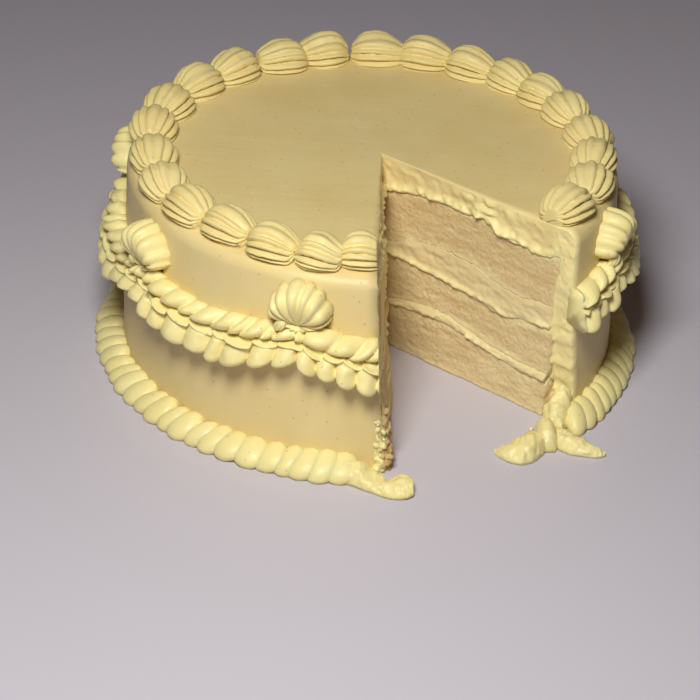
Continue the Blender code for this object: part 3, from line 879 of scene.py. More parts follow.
def ribbed_shell(name, ridges, seed, neck=0.62):
    """Lying shell, its head towards +X: a ribbed melon from -0.5 to 0.5, a little of it below z = 0.

    The strands run from the head, over the back, to the point where the nozzle was lifted; those
    low on either side lie over each other like leaves.
    """
    per, rows = 8, 20
    count = ridges * per
    turn = 2.0 * np.pi * (np.arange(count) + 0.5) / count
    up, side = np.sin(turn), np.abs(np.cos(turn)) ** 1.5
    rings = []
    for row in range(rows):
        u = row / (rows - 1)
        x = lerp(-0.40, 0.44, u)
        head = max(0.0, (x - 0.04) / 0.46)
        tail = max(0.0, (0.04 - x) / 0.46)
        full = (1.0 - head ** 2.5) ** 0.44 if head else lerp(1.0, neck, tail ** 2.1)
        tall = (1.0 - head ** 2.7) ** 0.40 if head else lerp(1.0, 0.66, tail ** 1.8)
        rings.append((x, 0.0, full, tall, 1.0, u))
    ends = []
    for turned, (x, full, tall, reach, high) in enumerate(((-0.40, rings[0][2], rings[0][3], -0.09, 0.50),
                                                           (0.44, rings[-1][2], rings[-1][3], 0.06, 0.34))):
        cap = []
        for step in (0.30, 0.55, 0.78, 0.93):
            bend = math.sin(step * math.pi / 2.0)
            left = math.cos(step * math.pi / 2.0)
            cap.append((x + reach * bend, 1.0 - left, full, tall, left, float(turned)))
        ends.append((cap, (x + reach * 0.96, high)))
    rings = ends[0][0][::-1] + rings + ends[1][0]
    made = []
    for x, shut, full, tall, left, u in rings:
        drift = 0.30 * math.sin(seed * 2.3) + 0.55 * math.sin(3.1 * seed) * (u - 0.5)
        place = turn * ridges / (2.0 * np.pi) + 0.22 * np.sin(2.0 * turn + 0.3 * math.sin(seed)) \
            + 0.12 * np.sin(5.0 * turn + 2.0 * seed) + drift
        part = place - np.floor(place)
        bead = np.sin(np.pi * part) ** lerp(1.45, 0.80, side)
        lap = np.where(np.cos(turn) > 0, 1.0 - part, part) - 0.5
        deep = lerp(0.10, 0.31, side) * (0.55 + 0.45 * left)
        reach = 1.0 - deep * (1.0 - bead) + 0.27 * side * lap * left
        long = 0.010 * lattice(np.floor(place).astype(int), 3, 5, int(10 * seed)) * (2.0 * u - 1.0)
        width = 0.5 * full * np.cos(turn) * reach
        centre = 0.26 * tall
        z = np.where(up > 0, centre + (1.0 - 0.26) * tall * power(up, 0.95) * reach,
                     centre + (centre + 0.16) * up)
        high = ends[0][1][1] if u < 0.5 else ends[1][1][1]
        made.append(np.stack([x + long, width * left, lerp(z, high * tall, shut)], -1))
    first, last = ends[0][1], ends[1][1]
    return closed_body(name, made, (first[0], 0.0, first[1] * ends[0][0][0][3]),
                       (last[0], 0.0, last[1] * ends[1][0][0][3]))


# length of a finger of the fan against the angle it leans from upright, in mm
FAN_REACH = ((0, 19.6), (20, 19.0), (38, 17.6), (52, 15.4), (66, 12.0), (80, 8.2), (96, 5.4),
             (112, 3.8), (180, 2.6))


def upright_fan(name, ridges, seed):
    """Fan in the XY plane, +Y up, that bulges towards +Z: fingers that spread from its foot."""
    per, below = 6, 8
    spread = math.radians(100.0)
    fan = np.linspace(-spread, spread, ridges * per + 1)
    rest = np.linspace(spread, 2.0 * np.pi - spread, below + 1)[1:-1]
    angle = np.concatenate([fan, rest])
    turned = np.where(angle > np.pi, angle - 2.0 * np.pi, angle)
    width = np.abs(turned)
    table = np.array(FAN_REACH)
    reach = np.interp(np.degrees(width), table[:, 0], table[:, 1])
    place = (turned + spread) / (2.0 * spread) * ridges
    place = place + 0.12 * np.sin(place * 2.1 + seed) - 0.12 * math.sin(seed)
    part = place - np.floor(place)
    bead = np.where(width < spread, np.abs(np.sin(np.pi * part)) ** 0.7, 0.85)
    rings = []
    for t in (0.10, 0.2, 0.32, 0.44, 0.56, 0.66, 0.76, 0.84, 0.90, 0.95, 0.985, 1.0):
        if t < 0.70:
            bulge = 0.46 + 0.54 * math.sin(t / 0.70 * math.pi / 2.0)
        else:
            bulge = math.sqrt(max(0.0, 1.0 - ((t - 0.70) / 0.30) ** 2.3))
        groove = 0.05 + 0.19 * min(1.0, t / 0.7)
        side = ease((width - 0.6) / 0.9)
        lap = np.where(turned > 0, part, 1.0 - part) - 0.5
        out = t * reach * (1.0 - 0.11 * t * (1.0 - bead)) * (1.0 + 0.05 * side * lap)
        z = bulge * (1.0 - groove * (1.0 - bead)) * lerp(1.0, 0.60, side) + 0.11 * side * lap * bulge
        high = out * np.cos(turned)
        broad = 1.0 + 0.42 * np.exp(-np.maximum(high, 0.0) ** 2 / 60.0)
        rings.append(np.stack([out * np.sin(turned) * broad / 26.5, high / 21.2,
                               np.maximum(z, -0.02)], -1))
    rings.append(rings[-1] * (0.9, 0.9, 1.0) + (0.0, 0.0, -0.10))
    return closed_body(name, rings, (0.0, 0.0, 0.44), (0.0, 0.0, -0.14))


def soft_tablet(name, seed):
    """Petal in the XY plane, +Y up, flat in front, fuller and squarer at its foot."""
    rows, around = 10, 22
    lat = np.pi * (np.arange(1, rows) / rows - 0.5)
    lon = 2.0 * np.pi * np.arange(around) / around
    a, b = np.meshgrid(lat, lon, indexing="ij")
    ring = power(np.cos(a), 0.42)
    x = 0.5 * ring * power(np.cos(b), 0.66)
    y = 0.5 * ring * power(np.sin(b), 0.72)
    z = 0.5 * power(np.sin(a), 0.55)
    wide = 1.0 - 0.13 * ease((y + 0.1) / 0.6) - 0.05 * ease((-0.3 - y) / 0.2)
    z = z * (1.0 - 0.34 * ease((y + 0.2) / 0.7)) - 0.05 * np.cos(x * 5.0 + seed) * (z > 0)
    x = x * wide + 0.05 * math.sin(2.0 * seed + 0.6) * y
    y = y + 0.06 * math.cos(3.0 * seed) * x
    rings = np.stack([x, y, z], -1)
    return closed_body(name, rings, (0.0, 0.0, -0.5), (0.0, 0.0, 0.44))


def drop(name, crest=0.36, square=0.85):
    """Rounded body along X, fullest near its -X end, that narrows to +X."""
    rows, around = 13, 20
    u = 0.5 - 0.5 * np.cos(np.pi * np.arange(1, rows) / rows)
    full = np.where(u < crest, np.sqrt(np.maximum(0.0, 1.0 - ((crest - u) / crest) ** 2.0)),
                    np.maximum(0.0, 1.0 - ((u - crest) / (1.0 - crest)) ** 2.2) ** 0.62)
    lon = 2.0 * np.pi * np.arange(around) / around
    t, row = np.meshgrid(lon, np.arange(len(u)))
    rings = np.stack([u[row] - 0.5, 0.5 * full[row] * power(np.cos(t), square),
                      0.5 * full[row] * power(np.sin(t), square)], -1)
    return closed_body(name, rings, (-0.5, 0.0, 0.0), (0.5, 0.0, 0.0))


def thin_lip(name):
    """Thin ledge along X that sags in its middle, its free edge towards +Z."""
    rows, around = 11, 10
    u = 0.5 - 0.5 * np.cos(np.pi * np.arange(1, rows) / rows)
    full = np.sqrt(np.maximum(0.0, 1.0 - (2.0 * u - 1.0) ** 2)) ** 0.7
    lon = 2.0 * np.pi * np.arange(around) / around
    t, row = np.meshgrid(lon, np.arange(len(u)))
    x = u[row] - 0.5
    rings = np.stack([x, 0.5 * full[row] * np.sin(t) + 0.55 * (2.0 * x) ** 2,
                      0.5 * full[row] * np.cos(t)], -1)
    return closed_body(name, rings, (-0.5, 0.55, 0.0), (0.5, 0.55, 0.0))


def crumb(name, seed):
    """Small broken lump."""
    bm = bmesh.new()
    bmesh.ops.create_icosphere(bm, subdivisions=2, radius=0.5)
    mesh = bpy.data.meshes.new(name)
    bm.to_mesh(mesh)
    bm.free()
    points = np.array([v.co[:] for v in mesh.vertices])
    points *= (1.0 + 0.60 * noise(points + seed * 3.1, 0.42, seed))[:, None]
    points *= (1.0, 0.85, 0.75)
    mesh.vertices.foreach_set("co", points.ravel())
    mesh.update()
    mesh.shade_smooth()
    return mesh


# ---------------------------------------------------------------- repeated shapes on points

def piping_tree():
    """Geometry nodes: one of four unit shapes on each point, joined, roughened and finished."""
    tree = bpy.data.node_groups.get("piped_units")
    if tree is not None:
        return tree
    tree = bpy.data.node_groups.new("piped_units", "GeometryNodeTree")
    face = tree.interface
    face.new_socket(name="Geometry", in_out="INPUT", socket_type="NodeSocketGeometry")
    for number in range(4):
        face.new_socket(name=f"Shape {number + 1}", in_out="INPUT", socket_type="NodeSocketObject")
    for name, value in (("Unevenness", 0.0003), ("Lump size", 0.006), ("Ripple", 0.0001),
                        ("Ripple size", 0.0016)):
        socket = face.new_socket(name=name, in_out="INPUT", socket_type="NodeSocketFloat")
        socket.subtype = "DISTANCE"
        socket.default_value = value
        socket.min_value = 0.0
    face.new_socket(name="Seed", in_out="INPUT", socket_type="NodeSocketInt")
    face.new_socket(name="Finish", in_out="INPUT", socket_type="NodeSocketMaterial")
    face.new_socket(name="Geometry", in_out="OUTPUT", socket_type="NodeSocketGeometry")
    start = node(tree, "NodeGroupInput")
    end = node(tree, "NodeGroupOutput")

    def attribute(name, kind):
        made = node(tree, "GeometryNodeInputNamedAttribute", data_type=kind)
        made.inputs["Name"].default_value = name
        return [s for s in made.outputs if s.enabled][0]

    turn = node(tree, "FunctionNodeEulerToRotation")
    link(tree, attribute("turn", "FLOAT_VECTOR"), turn.inputs[0])
    size = attribute("size", "FLOAT_VECTOR")
    which = attribute("shape", "INT")
    together = node(tree, "GeometryNodeJoinGeometry")
    for number in range(4):
        info = node(tree, "GeometryNodeObjectInfo")
        info.inputs["As Instance"].default_value = True
        link(tree, start.outputs[f"Shape {number + 1}"], info.inputs["Object"])
        same = node(tree, "FunctionNodeCompare", data_type="INT", operation="EQUAL")
        whole = [s for s in same.inputs if s.type == "INT"]
        link(tree, which, whole[0])
        whole[1].default_value = number
        place = node(tree, "GeometryNodeInstanceOnPoints")
        link(tree, start.outputs["Geometry"], place.inputs["Points"])
        link(tree, same.outputs[0], place.inputs["Selection"])
        link(tree, info.outputs["Geometry"], place.inputs["Instance"])
        link(tree, turn.outputs[0], place.inputs["Rotation"])
        link(tree, size, place.inputs["Scale"])
        link(tree, place.outputs[0], together.inputs[0])
    real = node(tree, "GeometryNodeRealizeInstances")
    link(tree, together.outputs[0], real.inputs[0])
    shape = real.outputs[0]
    for amount, grain in (("Unevenness", "Lump size"), ("Ripple", "Ripple size")):
        position = node(tree, "GeometryNodeInputPosition")
        divide = node(tree, "ShaderNodeMath", operation="DIVIDE")
        divide.inputs[0].default_value = 1.0
        link(tree, start.outputs[grain], divide.inputs[1])
        lumps = node(tree, "ShaderNodeTexNoise", noise_dimensions="4D")
        lumps.inputs["Detail"].default_value = 1.0
        link(tree, position.outputs[0], lumps.inputs["Vector"])
        link(tree, start.outputs["Seed"], lumps.inputs["W"])
        link(tree, divide.outputs[0], lumps.inputs["Scale"])
        centre = node(tree, "ShaderNodeMath", operation="SUBTRACT")
        link(tree, lumps.outputs[0], centre.inputs[0])
        centre.inputs[1].default_value = 0.5
        double = node(tree, "ShaderNodeMath", operation="MULTIPLY")
        link(tree, centre.outputs[0], double.inputs[0])
        link(tree, start.outputs[amount], double.inputs[1])
        four = node(tree, "ShaderNodeMath", operation="MULTIPLY")
        link(tree, double.outputs[0], four.inputs[0])
        four.inputs[1].default_value = 4.0
        normal = node(tree, "GeometryNodeInputNormal")
        push = node(tree, "ShaderNodeVectorMath", operation="SCALE")
        link(tree, normal.outputs[0], push.inputs[0])
        link(tree, four.outputs[0], push.inputs["Scale"])
        move = node(tree, "GeometryNodeSetPosition")
        link(tree, shape, move.inputs["Geometry"])
        link(tree, push.outputs[0], move.inputs["Offset"])
        shape = move.outputs[0]
    soft = node(tree, "GeometryNodeSetShadeSmooth")
    link(tree, shape, soft.inputs[0])
    last = node(tree, "GeometryNodeSetMaterial")
    link(tree, soft.outputs[0], last.inputs["Geometry"])
    link(tree, start.outputs["Finish"], last.inputs["Material"])
    link(tree, last.outputs[0], end.inputs[0])
    return tree


class Places:
    """Points that unit shapes are put on, each with its turn, its size and the shape it takes."""

    def __init__(self):
        self.at, self.turn, self.size, self.shape = [], [], [], []

    def add(self, at, axes, size, shape=0):
        """At in mm, axes a 3x3 matrix whose columns are the shape's own axes, size in mm."""
        self.at.append(np.asarray(at, float))
        self.turn.append(tuple(Matrix(axes).to_euler("XYZ")))
        self.size.append(tuple(np.asarray(size, float) * MM))
        self.shape.append(shape)

    def bake(self, name, shapes, material, unevenness, lump, ripple, grain, seed):
        """The joined mesh of all shapes, as an object."""
        mesh = bpy.data.meshes.new(name)
        mesh.from_pydata((np.array(self.at) * MM).tolist(), [], [])
        for key, kind, values in (("turn", "FLOAT_VECTOR", self.turn), ("size", "FLOAT_VECTOR", self.size)):
            layer = mesh.attributes.new(key, kind, "POINT")
            layer.data.foreach_set("vector", np.array(values, np.float32).ravel())
        layer = mesh.attributes.new("shape", "INT", "POINT")
        layer.data.foreach_set("value", np.array(self.shape, np.int32))
        obj = add_object(name, mesh)
        sources = [bpy.data.objects.new(f"{name}_unit_{i}", shape) for i, shape in enumerate(shapes)]
        for source in sources:
            bpy.context.scene.collection.objects.link(source)
        tree = piping_tree()
        modifier = obj.modifiers.new("piping", "NODES")
        modifier.node_group = tree
        values = {"Unevenness": unevenness * MM, "Lump size": lump * MM, "Ripple": ripple * MM,
                  "Ripple size": grain * MM, "Seed": seed, "Finish": material}
        for i, source in enumerate(sources):
            values[f"Shape {i + 1}"] = source
        for item in tree.interface.items_tree:
            if item.in_out == "INPUT" and item.name in values:
                modifier[item.identifier] = values[item.name]
        depsgraph = bpy.context.evaluated_depsgraph_get()
        depsgraph.update()
        baked = bpy.data.meshes.new_from_object(obj.evaluated_get(depsgraph), depsgraph=depsgraph)
        if not len(baked.polygons):
            raise RuntimeError(f"{name}: the piping came out empty")
        obj.modifiers.clear()
        obj.data = baked
        baked.name = name
        baked.materials.clear()
        baked.materials.append(material)
        for source in sources:
            data = source.data
            bpy.data.objects.remove(source, do_unlink=True)
            bpy.data.meshes.remove(data)
        bpy.data.meshes.remove(mesh)
        return obj


def around(radius, degrees, z):
    """Point at a radius and an angle round the axis, in mm."""
    a = math.radians(degrees)
    return np.array([radius * math.cos(a), radius * math.sin(a), z])


def wall_axes(degrees):
    """Axes of a shape on the wall: X along it to the right, Y up, Z out."""
    a = math.radians(degrees)
    return Matrix(((-math.sin(a), 0.0, math.cos(a)), (math.cos(a), 0.0, math.sin(a)),
                   (0.0, 1.0, 0.0)))


def top_axes(degrees, sign):
    """Axes of a shape on the top or the floor: X along the circle, Z up."""
    a = math.radians(degrees)
    x = Vector((-math.sin(a) * sign, math.cos(a) * sign, 0.0))
    z = Vector((0.0, 0.0, 1.0))
    y = z.cross(x)
    return Matrix((x, y, z)).transposed()


def spun(axes, x=0.0, y=0.0, z=0.0):
    """Axes turned about their own X, Y and Z, in degrees."""
    return axes @ Euler((math.radians(x), math.radians(y), math.radians(z)), "XYZ").to_matrix()


def slice_off(obj, plane_point, plane_normal, keep_region):
    """Cut a joined piece with a knife plane inside a region, and close the cut shapes."""
    bm = bmesh.new()
    bm.from_mesh(obj.data)
    verts = [v for v in bm.verts if keep_region(v.co / MM)]
    inside = set(verts)
    edges = [e for e in bm.edges if e.verts[0] in inside and e.verts[1] in inside]
    faces = [f for f in bm.faces if all(v in inside for v in f.verts)]
    made = bmesh.ops.bisect_plane(bm, geom=verts + edges + faces, dist=1e-7,
                                  plane_co=Vector(plane_point) * MM, plane_no=Vector(plane_normal),
                                  clear_outer=True)
    rim = [e for e in made["geom_cut"] if isinstance(e, bmesh.types.BMEdge) and e.is_boundary]
    bmesh.ops.holes_fill(bm, edges=rim, sides=0)
    bmesh.ops.triangulate(bm, faces=[f for f in bm.faces if len(f.verts) > 4])
    bmesh.ops.recalc_face_normals(bm, faces=bm.faces[:])
    bm.to_mesh(obj.data)
    bm.free()
    obj.data.update()


LEFT_NORMAL = (HEIGHT, 0.0, CUT_LEFT[0] - CUT_LEFT[1])
RIGHT_NORMAL = (-RIGHT_ACROSS[0] * HEIGHT, -RIGHT_ACROSS[1] * HEIGHT, CUT_RIGHT[1] - CUT_RIGHT[0])


def slice_left(obj):
    """Cut off what stands over the left cut."""
    slice_off(obj, (CUT_LEFT[0], 0.0, 0.0), LEFT_NORMAL,
              lambda p: p.y < -55.0 and -30.0 < p.x < 60.0)


def slice_right(obj):
    """Cut off what stands over the right cut."""
    point = RIGHT_ACROSS * CUT_RIGHT[0]
    slice_off(obj, (point[0], point[1], 0.0), RIGHT_NORMAL,
              lambda p: p.x > 45.0 and p.y < -25.0)


# ---------------------------------------------------------------- piping on the cake

def build_shells(settings):
    """Two runs of ribbed shells along the top edge."""
    for name, run, sign, seed in (("shells_left_run", LEFT_RUN, -1.0, 1),
                                  ("shells_right_run", RIGHT_RUN, 1.0, 2)):
        places = Places()
        for i, (angle, ring) in enumerate(run):
            r = lattice(np.arange(8), i, 7, seed)
            neighbours = [abs(angle - other) for other, _ in run if abs(angle - other) > 1.0]
            spacing = math.radians(min(neighbours)) * ring
            length = min(settings.shell_length / MM, spacing * 1.13) * (1.0 + 0.03 * r[0])
            width = settings.shell_width / MM * (1.0 + 0.05 * r[1])
            height = settings.shell_height / MM * (1.0 + 0.05 * r[2])
            at = around(ring - 0.4, angle, HEIGHT - 0.6)
            axes = spun(top_axes(angle, sign), x=-sign * 7.0 + 3.0 * r[3], y=2.0 * r[4], z=6.0 * r[5])
            places.add(at, axes, (length, width, height), (3 * i + seed) % 4)
        shapes = [ribbed_shell(f"{name}_shape_{k}", settings.shell_ridges, 1.3 * k + seed)
                  for k in range(4)]
        obj = places.bake(name, shapes, finish("shaded_shell_buttercream"), 0.24, 6.0, 0.09, 1.5, seed)
        if sign < 0:
            slice_left(obj)
            solids = [f"shell_left_{i:02d}" for i in range(1, 14)]
        else:
            slice_right(obj)
            solids = [f"shell_right_{i:02d}" for i in range(1, 11)]
        finish_piece(obj, "buttercream", *solids)


def build_fans(settings):
    """Seven upright fans, one above each joint of the garland."""
    places = Places()
    for i, (angle, lift) in enumerate(JOINTS[1:-1]):
        r = lattice(np.arange(8), i, 11, 5)
        z = 69.6 + lift
        at = around(wall_radius(z) - 0.6, angle, z)
        axes = spun(wall_axes(angle), x=-2.0, z=7.0 * r[0])
        places.add(at, axes, (settings.fan_width / MM * (1.0 + 0.03 * r[1]), 21.4,
                              settings.fan_depth / MM * (1.0 + 0.05 * r[2])), i % 2)
        # small curl where the tip was pulled away below the fan
        curl = spun(wall_axes(angle), x=20.0, y=-12.0, z=60.0 + 14.0 * r[3])
        places.add(around(wall_radius(z) + 5.0, angle - 3.6, z + 0.4), curl, (7.5, 4.6, 4.0), 2)
    shapes = [upright_fan("fan_shape_0", 10, 0.4), upright_fan("fan_shape_1", 10, 1.9),
              ribbed_shell("fan_curl", 9, 2.2)]
    obj = places.bake("fans", shapes, finish("piped_buttercream"), 0.14, 6.0, 0.05, 1.3, 3)
    finish_piece(obj, "buttercream", *[f"fan_{i}" for i in range(1, 8)])


def swag_levels(angle):
    """Top, split and foot of the garland at an angle, and how near it is to a joint."""
    for (a, lift_a), (b, lift_b) in zip(JOINTS, JOINTS[1:]):
        if a <= angle <= b:
            share = (angle - a) / (b - a)
            droop = math.sin(math.pi * share)
            lift = lerp(lift_a, lift_b, share)
            near = min(share, 1.0 - share) * (b - a)
            more = FRONT_DROOP if a > 250.0 else 0.0
            return (SWAG_TOP + lift - SWAG_TOP_DROOP * droop,
                    SWAG_SPLIT + lift - (SWAG_SPLIT_DROOP + more) * droop,
                    SWAG_FOOT + lift - (SWAG_FOOT_DROOP + more) * droop, near, share)
    raise ValueError("angle outside the garland")


def fold_edges(start, stop, pitch, spread, seed):
    """Places where one fold of a ribbon ends and the next begins."""
    count = int((stop - start) / pitch * 1.5) + 6
    steps = pitch * (1.0 + spread * lattice(np.arange(count), 2, 3, seed))
    return start + np.cumsum(steps) - steps[0]


def fold_part(place, edges):
    """Which fold a place is in, and how far through it."""
    fold = np.clip(np.searchsorted(edges, place, side="right") - 1, 0, len(edges) - 2)
    return fold, (place - edges[fold]) / (edges[fold + 1] - edges[fold])


def build_swags(settings):
    """Eight swags, a ribbon in folds: slanted bumps, a thin wavy lip, and petals that overlap."""
    depth = settings.swag_depth / MM
    first, last = -42.0, 275.6
    angle = np.linspace(first, last, 1800)
    levels = np.array([swag_levels(min(max(a, JOINTS[0][0]), JOINTS[-1][0]))[:4] for a in angle])
    top, split, foot, near = (levels[:, i:i + 1] for i in range(4))
    wall = wall_radius(split)
    arc = 1.0 / np.radians(1.0) / 112.0              # degrees in a millimetre of the ribbon
    slope = np.gradient(foot[:, 0], angle * np.radians(1.0) * 112.0)[:, None]
    full = 1.0 - 0.10 * np.exp(-(near / 4.5) ** 2)
    bend = angle[:, None]

    # petals: from below the lip down to the foot, and back under it
    t = np.concatenate([np.linspace(0.0, 1.0, 12), [1.0, 1.0, 1.0, 1.0]])[None, :]
    under = np.concatenate([np.zeros(12), [0.16, 0.45, 0.8, 1.0]])[None, :]
    rise = split - 1.1 + (foot - split + 1.1) * t
    edges = fold_edges(first - 12.0, last + 12.0, settings.petal_pitch, 0.26, 61)
    place = bend - (0.5 * slope + 0.10) * (rise - foot) * arc
    fold, part = fold_part(place, edges)
    own = [lattice(fold, 5, k, 62) for k in range(6)]
    lobe = np.sin(np.pi * part) ** lerp(0.75, 0.30, t)
    small = np.where(own[0] > 0.62, 1.0, 0.0)
    lobe = lobe * lerp(1.0, 0.72, small)
    swell = 0.76 + 0.24 * np.sin(np.pi * np.minimum(t, 1.0) * 0.60)
    petal = depth * full * (swell * (0.60 + 0.42 * lobe) + 0.05 * own[1])
    petal = petal + (1.9 + 0.8 * own[2]) * (0.5 - part) * ease(t * 3.0)
    petal = petal - 1.4 * ease((t - 0.84) / 0.16) * (0.6 + 0.4 * lobe)
    petal = petal * (1.0 - 0.92 * under ** 1.3)
    rise = rise + (2.4 * (1.0 - lobe) - 0.7 + 0.9 * own[3] + 1.3 * small) * t ** 1.5
    rise = rise + (1.4 * own[4] * (part - 0.5) - 0.5 * np.sin(np.pi * under)) * t + 1.7 * under ** 2

    # lip: a thin ledge in shallow waves
    fold, along = fold_part(bend - 0.22 * settings.petal_pitch + 0.0 * t[:, :6], edges)
    hang = np.sin(np.pi * along) ** 0.6
    own = [lattice(fold, 9, k, 70) for k in range(3)]
    out = np.array([0.54, 0.64, 0.73, 0.76, 0.73, 0.66])[None, :]
    lift = np.array([0.45, 0.50, 0.35, -0.05, -0.50, -0.65])[None, :]
    stray = wave(bend / arc, 9.0, 69)
    lip = depth * full * (out + (out - 0.50) * (0.55 * (hang - 0.55) + 0.35 * stray + 0.45 * own[0]))
    ledge = split + lift + 0.8 * wave(bend / arc, 8.0, 63) - 0.6 * (hang - 0.5)
    ledge = ledge + (0.8 * own[1] + (1.6 + 1.4 * own[2]) * (0.5 - along)) * np.exp(-(lift / 0.9) ** 2)

    # bumps of the band: folds that lean up to the right
    u = np.linspace(0.0, 1.0, 13)[None, :]
    height = lerp(top, split + 1.0, u)
    edges = fold_edges(first - 14.0, last + 14.0, 3.9, 0.50, 64)
    slant = lerp(0.95, 0.35, np.exp(-(near / 5.0) ** 2))
    fold, part = fold_part(bend - (slant + 0.6 * slope) * (height - split) * arc, edges)
    own = [lattice(fold, 7, k, 65) for k in range(4)]
    lobe = np.sin(np.pi * part) ** 0.52
    body = np.sin(np.pi * (0.05 + 0.83 * u)) ** 0.62
    band = depth * full * body * (0.47 + 0.28 * lobe + 0.09 * own[0]) + 1.1 * (0.5 - part) * body
    height = height + (2.2 * (lobe - 0.65) + 1.4 * own[1]) * (1.0 - u) ** 0.7

    inside = np.full_like(top, -1.6)
    reach = np.concatenate([inside, band, lip, petal, inside], axis=1)
    level = np.concatenate([top - 1.0, height, ledge, rise, foot + 3.0], axis=1)
    around_x = np.cos(np.radians(bend)) * (wall + reach)
    around_y = np.sin(np.radians(bend)) * (wall + reach)
    rings = np.stack([around_x, around_y, level], -1)
    lumps = 0.5 * noise(rings, 9.0, 71) + 0.38 * noise(rings, 4.6, 66) + 0.14 * noise(rings, 2.0, 67) \
        + 0.04 * noise(rings, 0.9, 68)
    push = lumps * ease(reach / 2.0)
    rings[..., 0] += np.cos(np.radians(bend)) * push
    rings[..., 1] += np.sin(np.radians(bend)) * push
    rings[..., 2] += 0.6 * push
    mesh = closed_body("swags", rings * MM, rings[0].mean(0) * MM, rings[-1].mean(0) * MM)
    obj = add_object("swags", mesh, finish("piped_buttercream"))
    slice_left(obj)
    slice_right(obj)
    finish_piece(obj, "buttercream", *[f"swag_{i}" for i in range(1, 9)])


def press_flat(mesh):
    """Flatten on the floor what reaches below it."""
    points = read_points(mesh)
    points[:, 2] = np.maximum(points[:, 2], 0.03 * points[:, 2])
    write_points(mesh, points)


def build_rope(settings):
    """Rope of overlapping lobes round the foot."""
    places = Places()
    angle, number = -36.6, 0
    pitch = settings.rope_pitch
    while angle < 268.6:
        r = lattice(np.arange(10), number, 23, 3)
        step = pitch * lerp(0.80, 1.0, ease((angle - 40.0) / 120.0)) * (1.0 + 0.16 * r[0])
        step *= 1.0 - 0.10 * ease((angle - 245.0) / 10.0)
        width = settings.rope_width / MM
        at = around(RADIUS_FOOT + width * 0.47 + 0.25 * r[1], angle, settings.rope_height / MM * 0.44)
        axes = spun(top_axes(angle, 1.0), z=-34.0 + 8.0 * r[2])
        axes = spun(axes, x=26.0 + 4.0 * r[3], y=6.0)
        length = math.radians(step) * 116.0 * lerp(1.44, 1.80, ease((angle - 235.0) / 20.0))
        places.add(at, axes, (length, width * 1.46 * (1.0 + 0.06 * r[4]),
                              settings.rope_height / MM * 0.96 * (1.0 + 0.06 * r[5])), 0)
        angle += step
        number += 1
    shapes = [drop("lobe_shape", 0.42, 0.9)]
    obj = places.bake("foot_rope", shapes, finish("piped_buttercream"), 0.22, 7.0, 0.05, 1.3, 5)
    press_flat(obj.data)
    finish_piece(obj, "buttercream", "base_rope")


# cream that the knife pulled out of the rope: x, y, heading, half width, foot and height in mm
DRAGGED = {
    "smear_left": ((-11.0, -115.0, 0, 3.6, 0, 6.4), (-5.4, -115.6, -6, 5.4, 0, 7.8),
                   (0.0, -116.4, -16, 6.4, 0, 7.0), (4.8, -119.4, -34, 6.4, 0, 5.2),
                   (9.4, -124.0, -30, 4.2, 0, 3.4), (13.0, -123.4, -10, 6.8, 0, 4.6),
                   (16.8, -123.0, -4, 8.0, 0, 5.8), (20.2, -123.8, 2, 6.6, 0.6, 5.6),
                   (22.6, -124.6, 4, 4.2, 1.2, 4.6)),
    "lump_corner": ((86.4, -62.0, -90, 5.4, 0, 17.0), (85.2, -66.5, -92, 6.4, 0, 13.5),
                    (84.0, -72.0, -90, 5.4, 0, 8.6), (83.6, -76.6, -90, 3.0, 0, 4.8)),
    "lump_barrel": ((78.8, -73.4, -86, 3.4, 0, 6.4), (79.2, -76.6, -86, 4.4, 0, 9.6),
                    (79.8, -81.6, -86, 4.8, 0, 10.4), (80.2, -86.6, -86, 4.6, 0, 9.2),
                    (80.4, -90.2, -86, 3.2, 0, 5.2)),
    "lump_wide": ((80.0, -83.0, 196, 3.4, 0, 5.0), (76.6, -86.6, 194, 6.4, 0, 8.2),
                  (72.4, -90.6, 190, 8.4, 0, 8.8), (68.0, -92.8, 186, 8.4, 0, 7.0),
                  (63.4, -93.4, 180, 6.0, 0, 4.8), (60.0, -92.6, 172, 3.4, 0, 3.0),
                  (57.4, -91.0, 165, 1.2, 0, 1.4)),
    "curl_right": ((84.6, -80.0, -60, 4.2, 0, 6.0), (88.0, -83.6, -42, 5.4, 0, 6.2),
                   (92.6, -86.8, -30, 5.4, 0, 5.0), (97.2, -89.0, -22, 3.8, 0, 3.8),
                   (101.4, -90.2, -10, 3.0, 0, 3.4), (105.0, -90.6, 0, 1.2, 0.3, 1.8)),
}
DRAGGED_ROUGHNESS = {"smear_left": 1.1, "lump_corner": 1.7, "lump_barrel": 0.35, "lump_wide": 1.2,
                     "curl_right": 1.25}


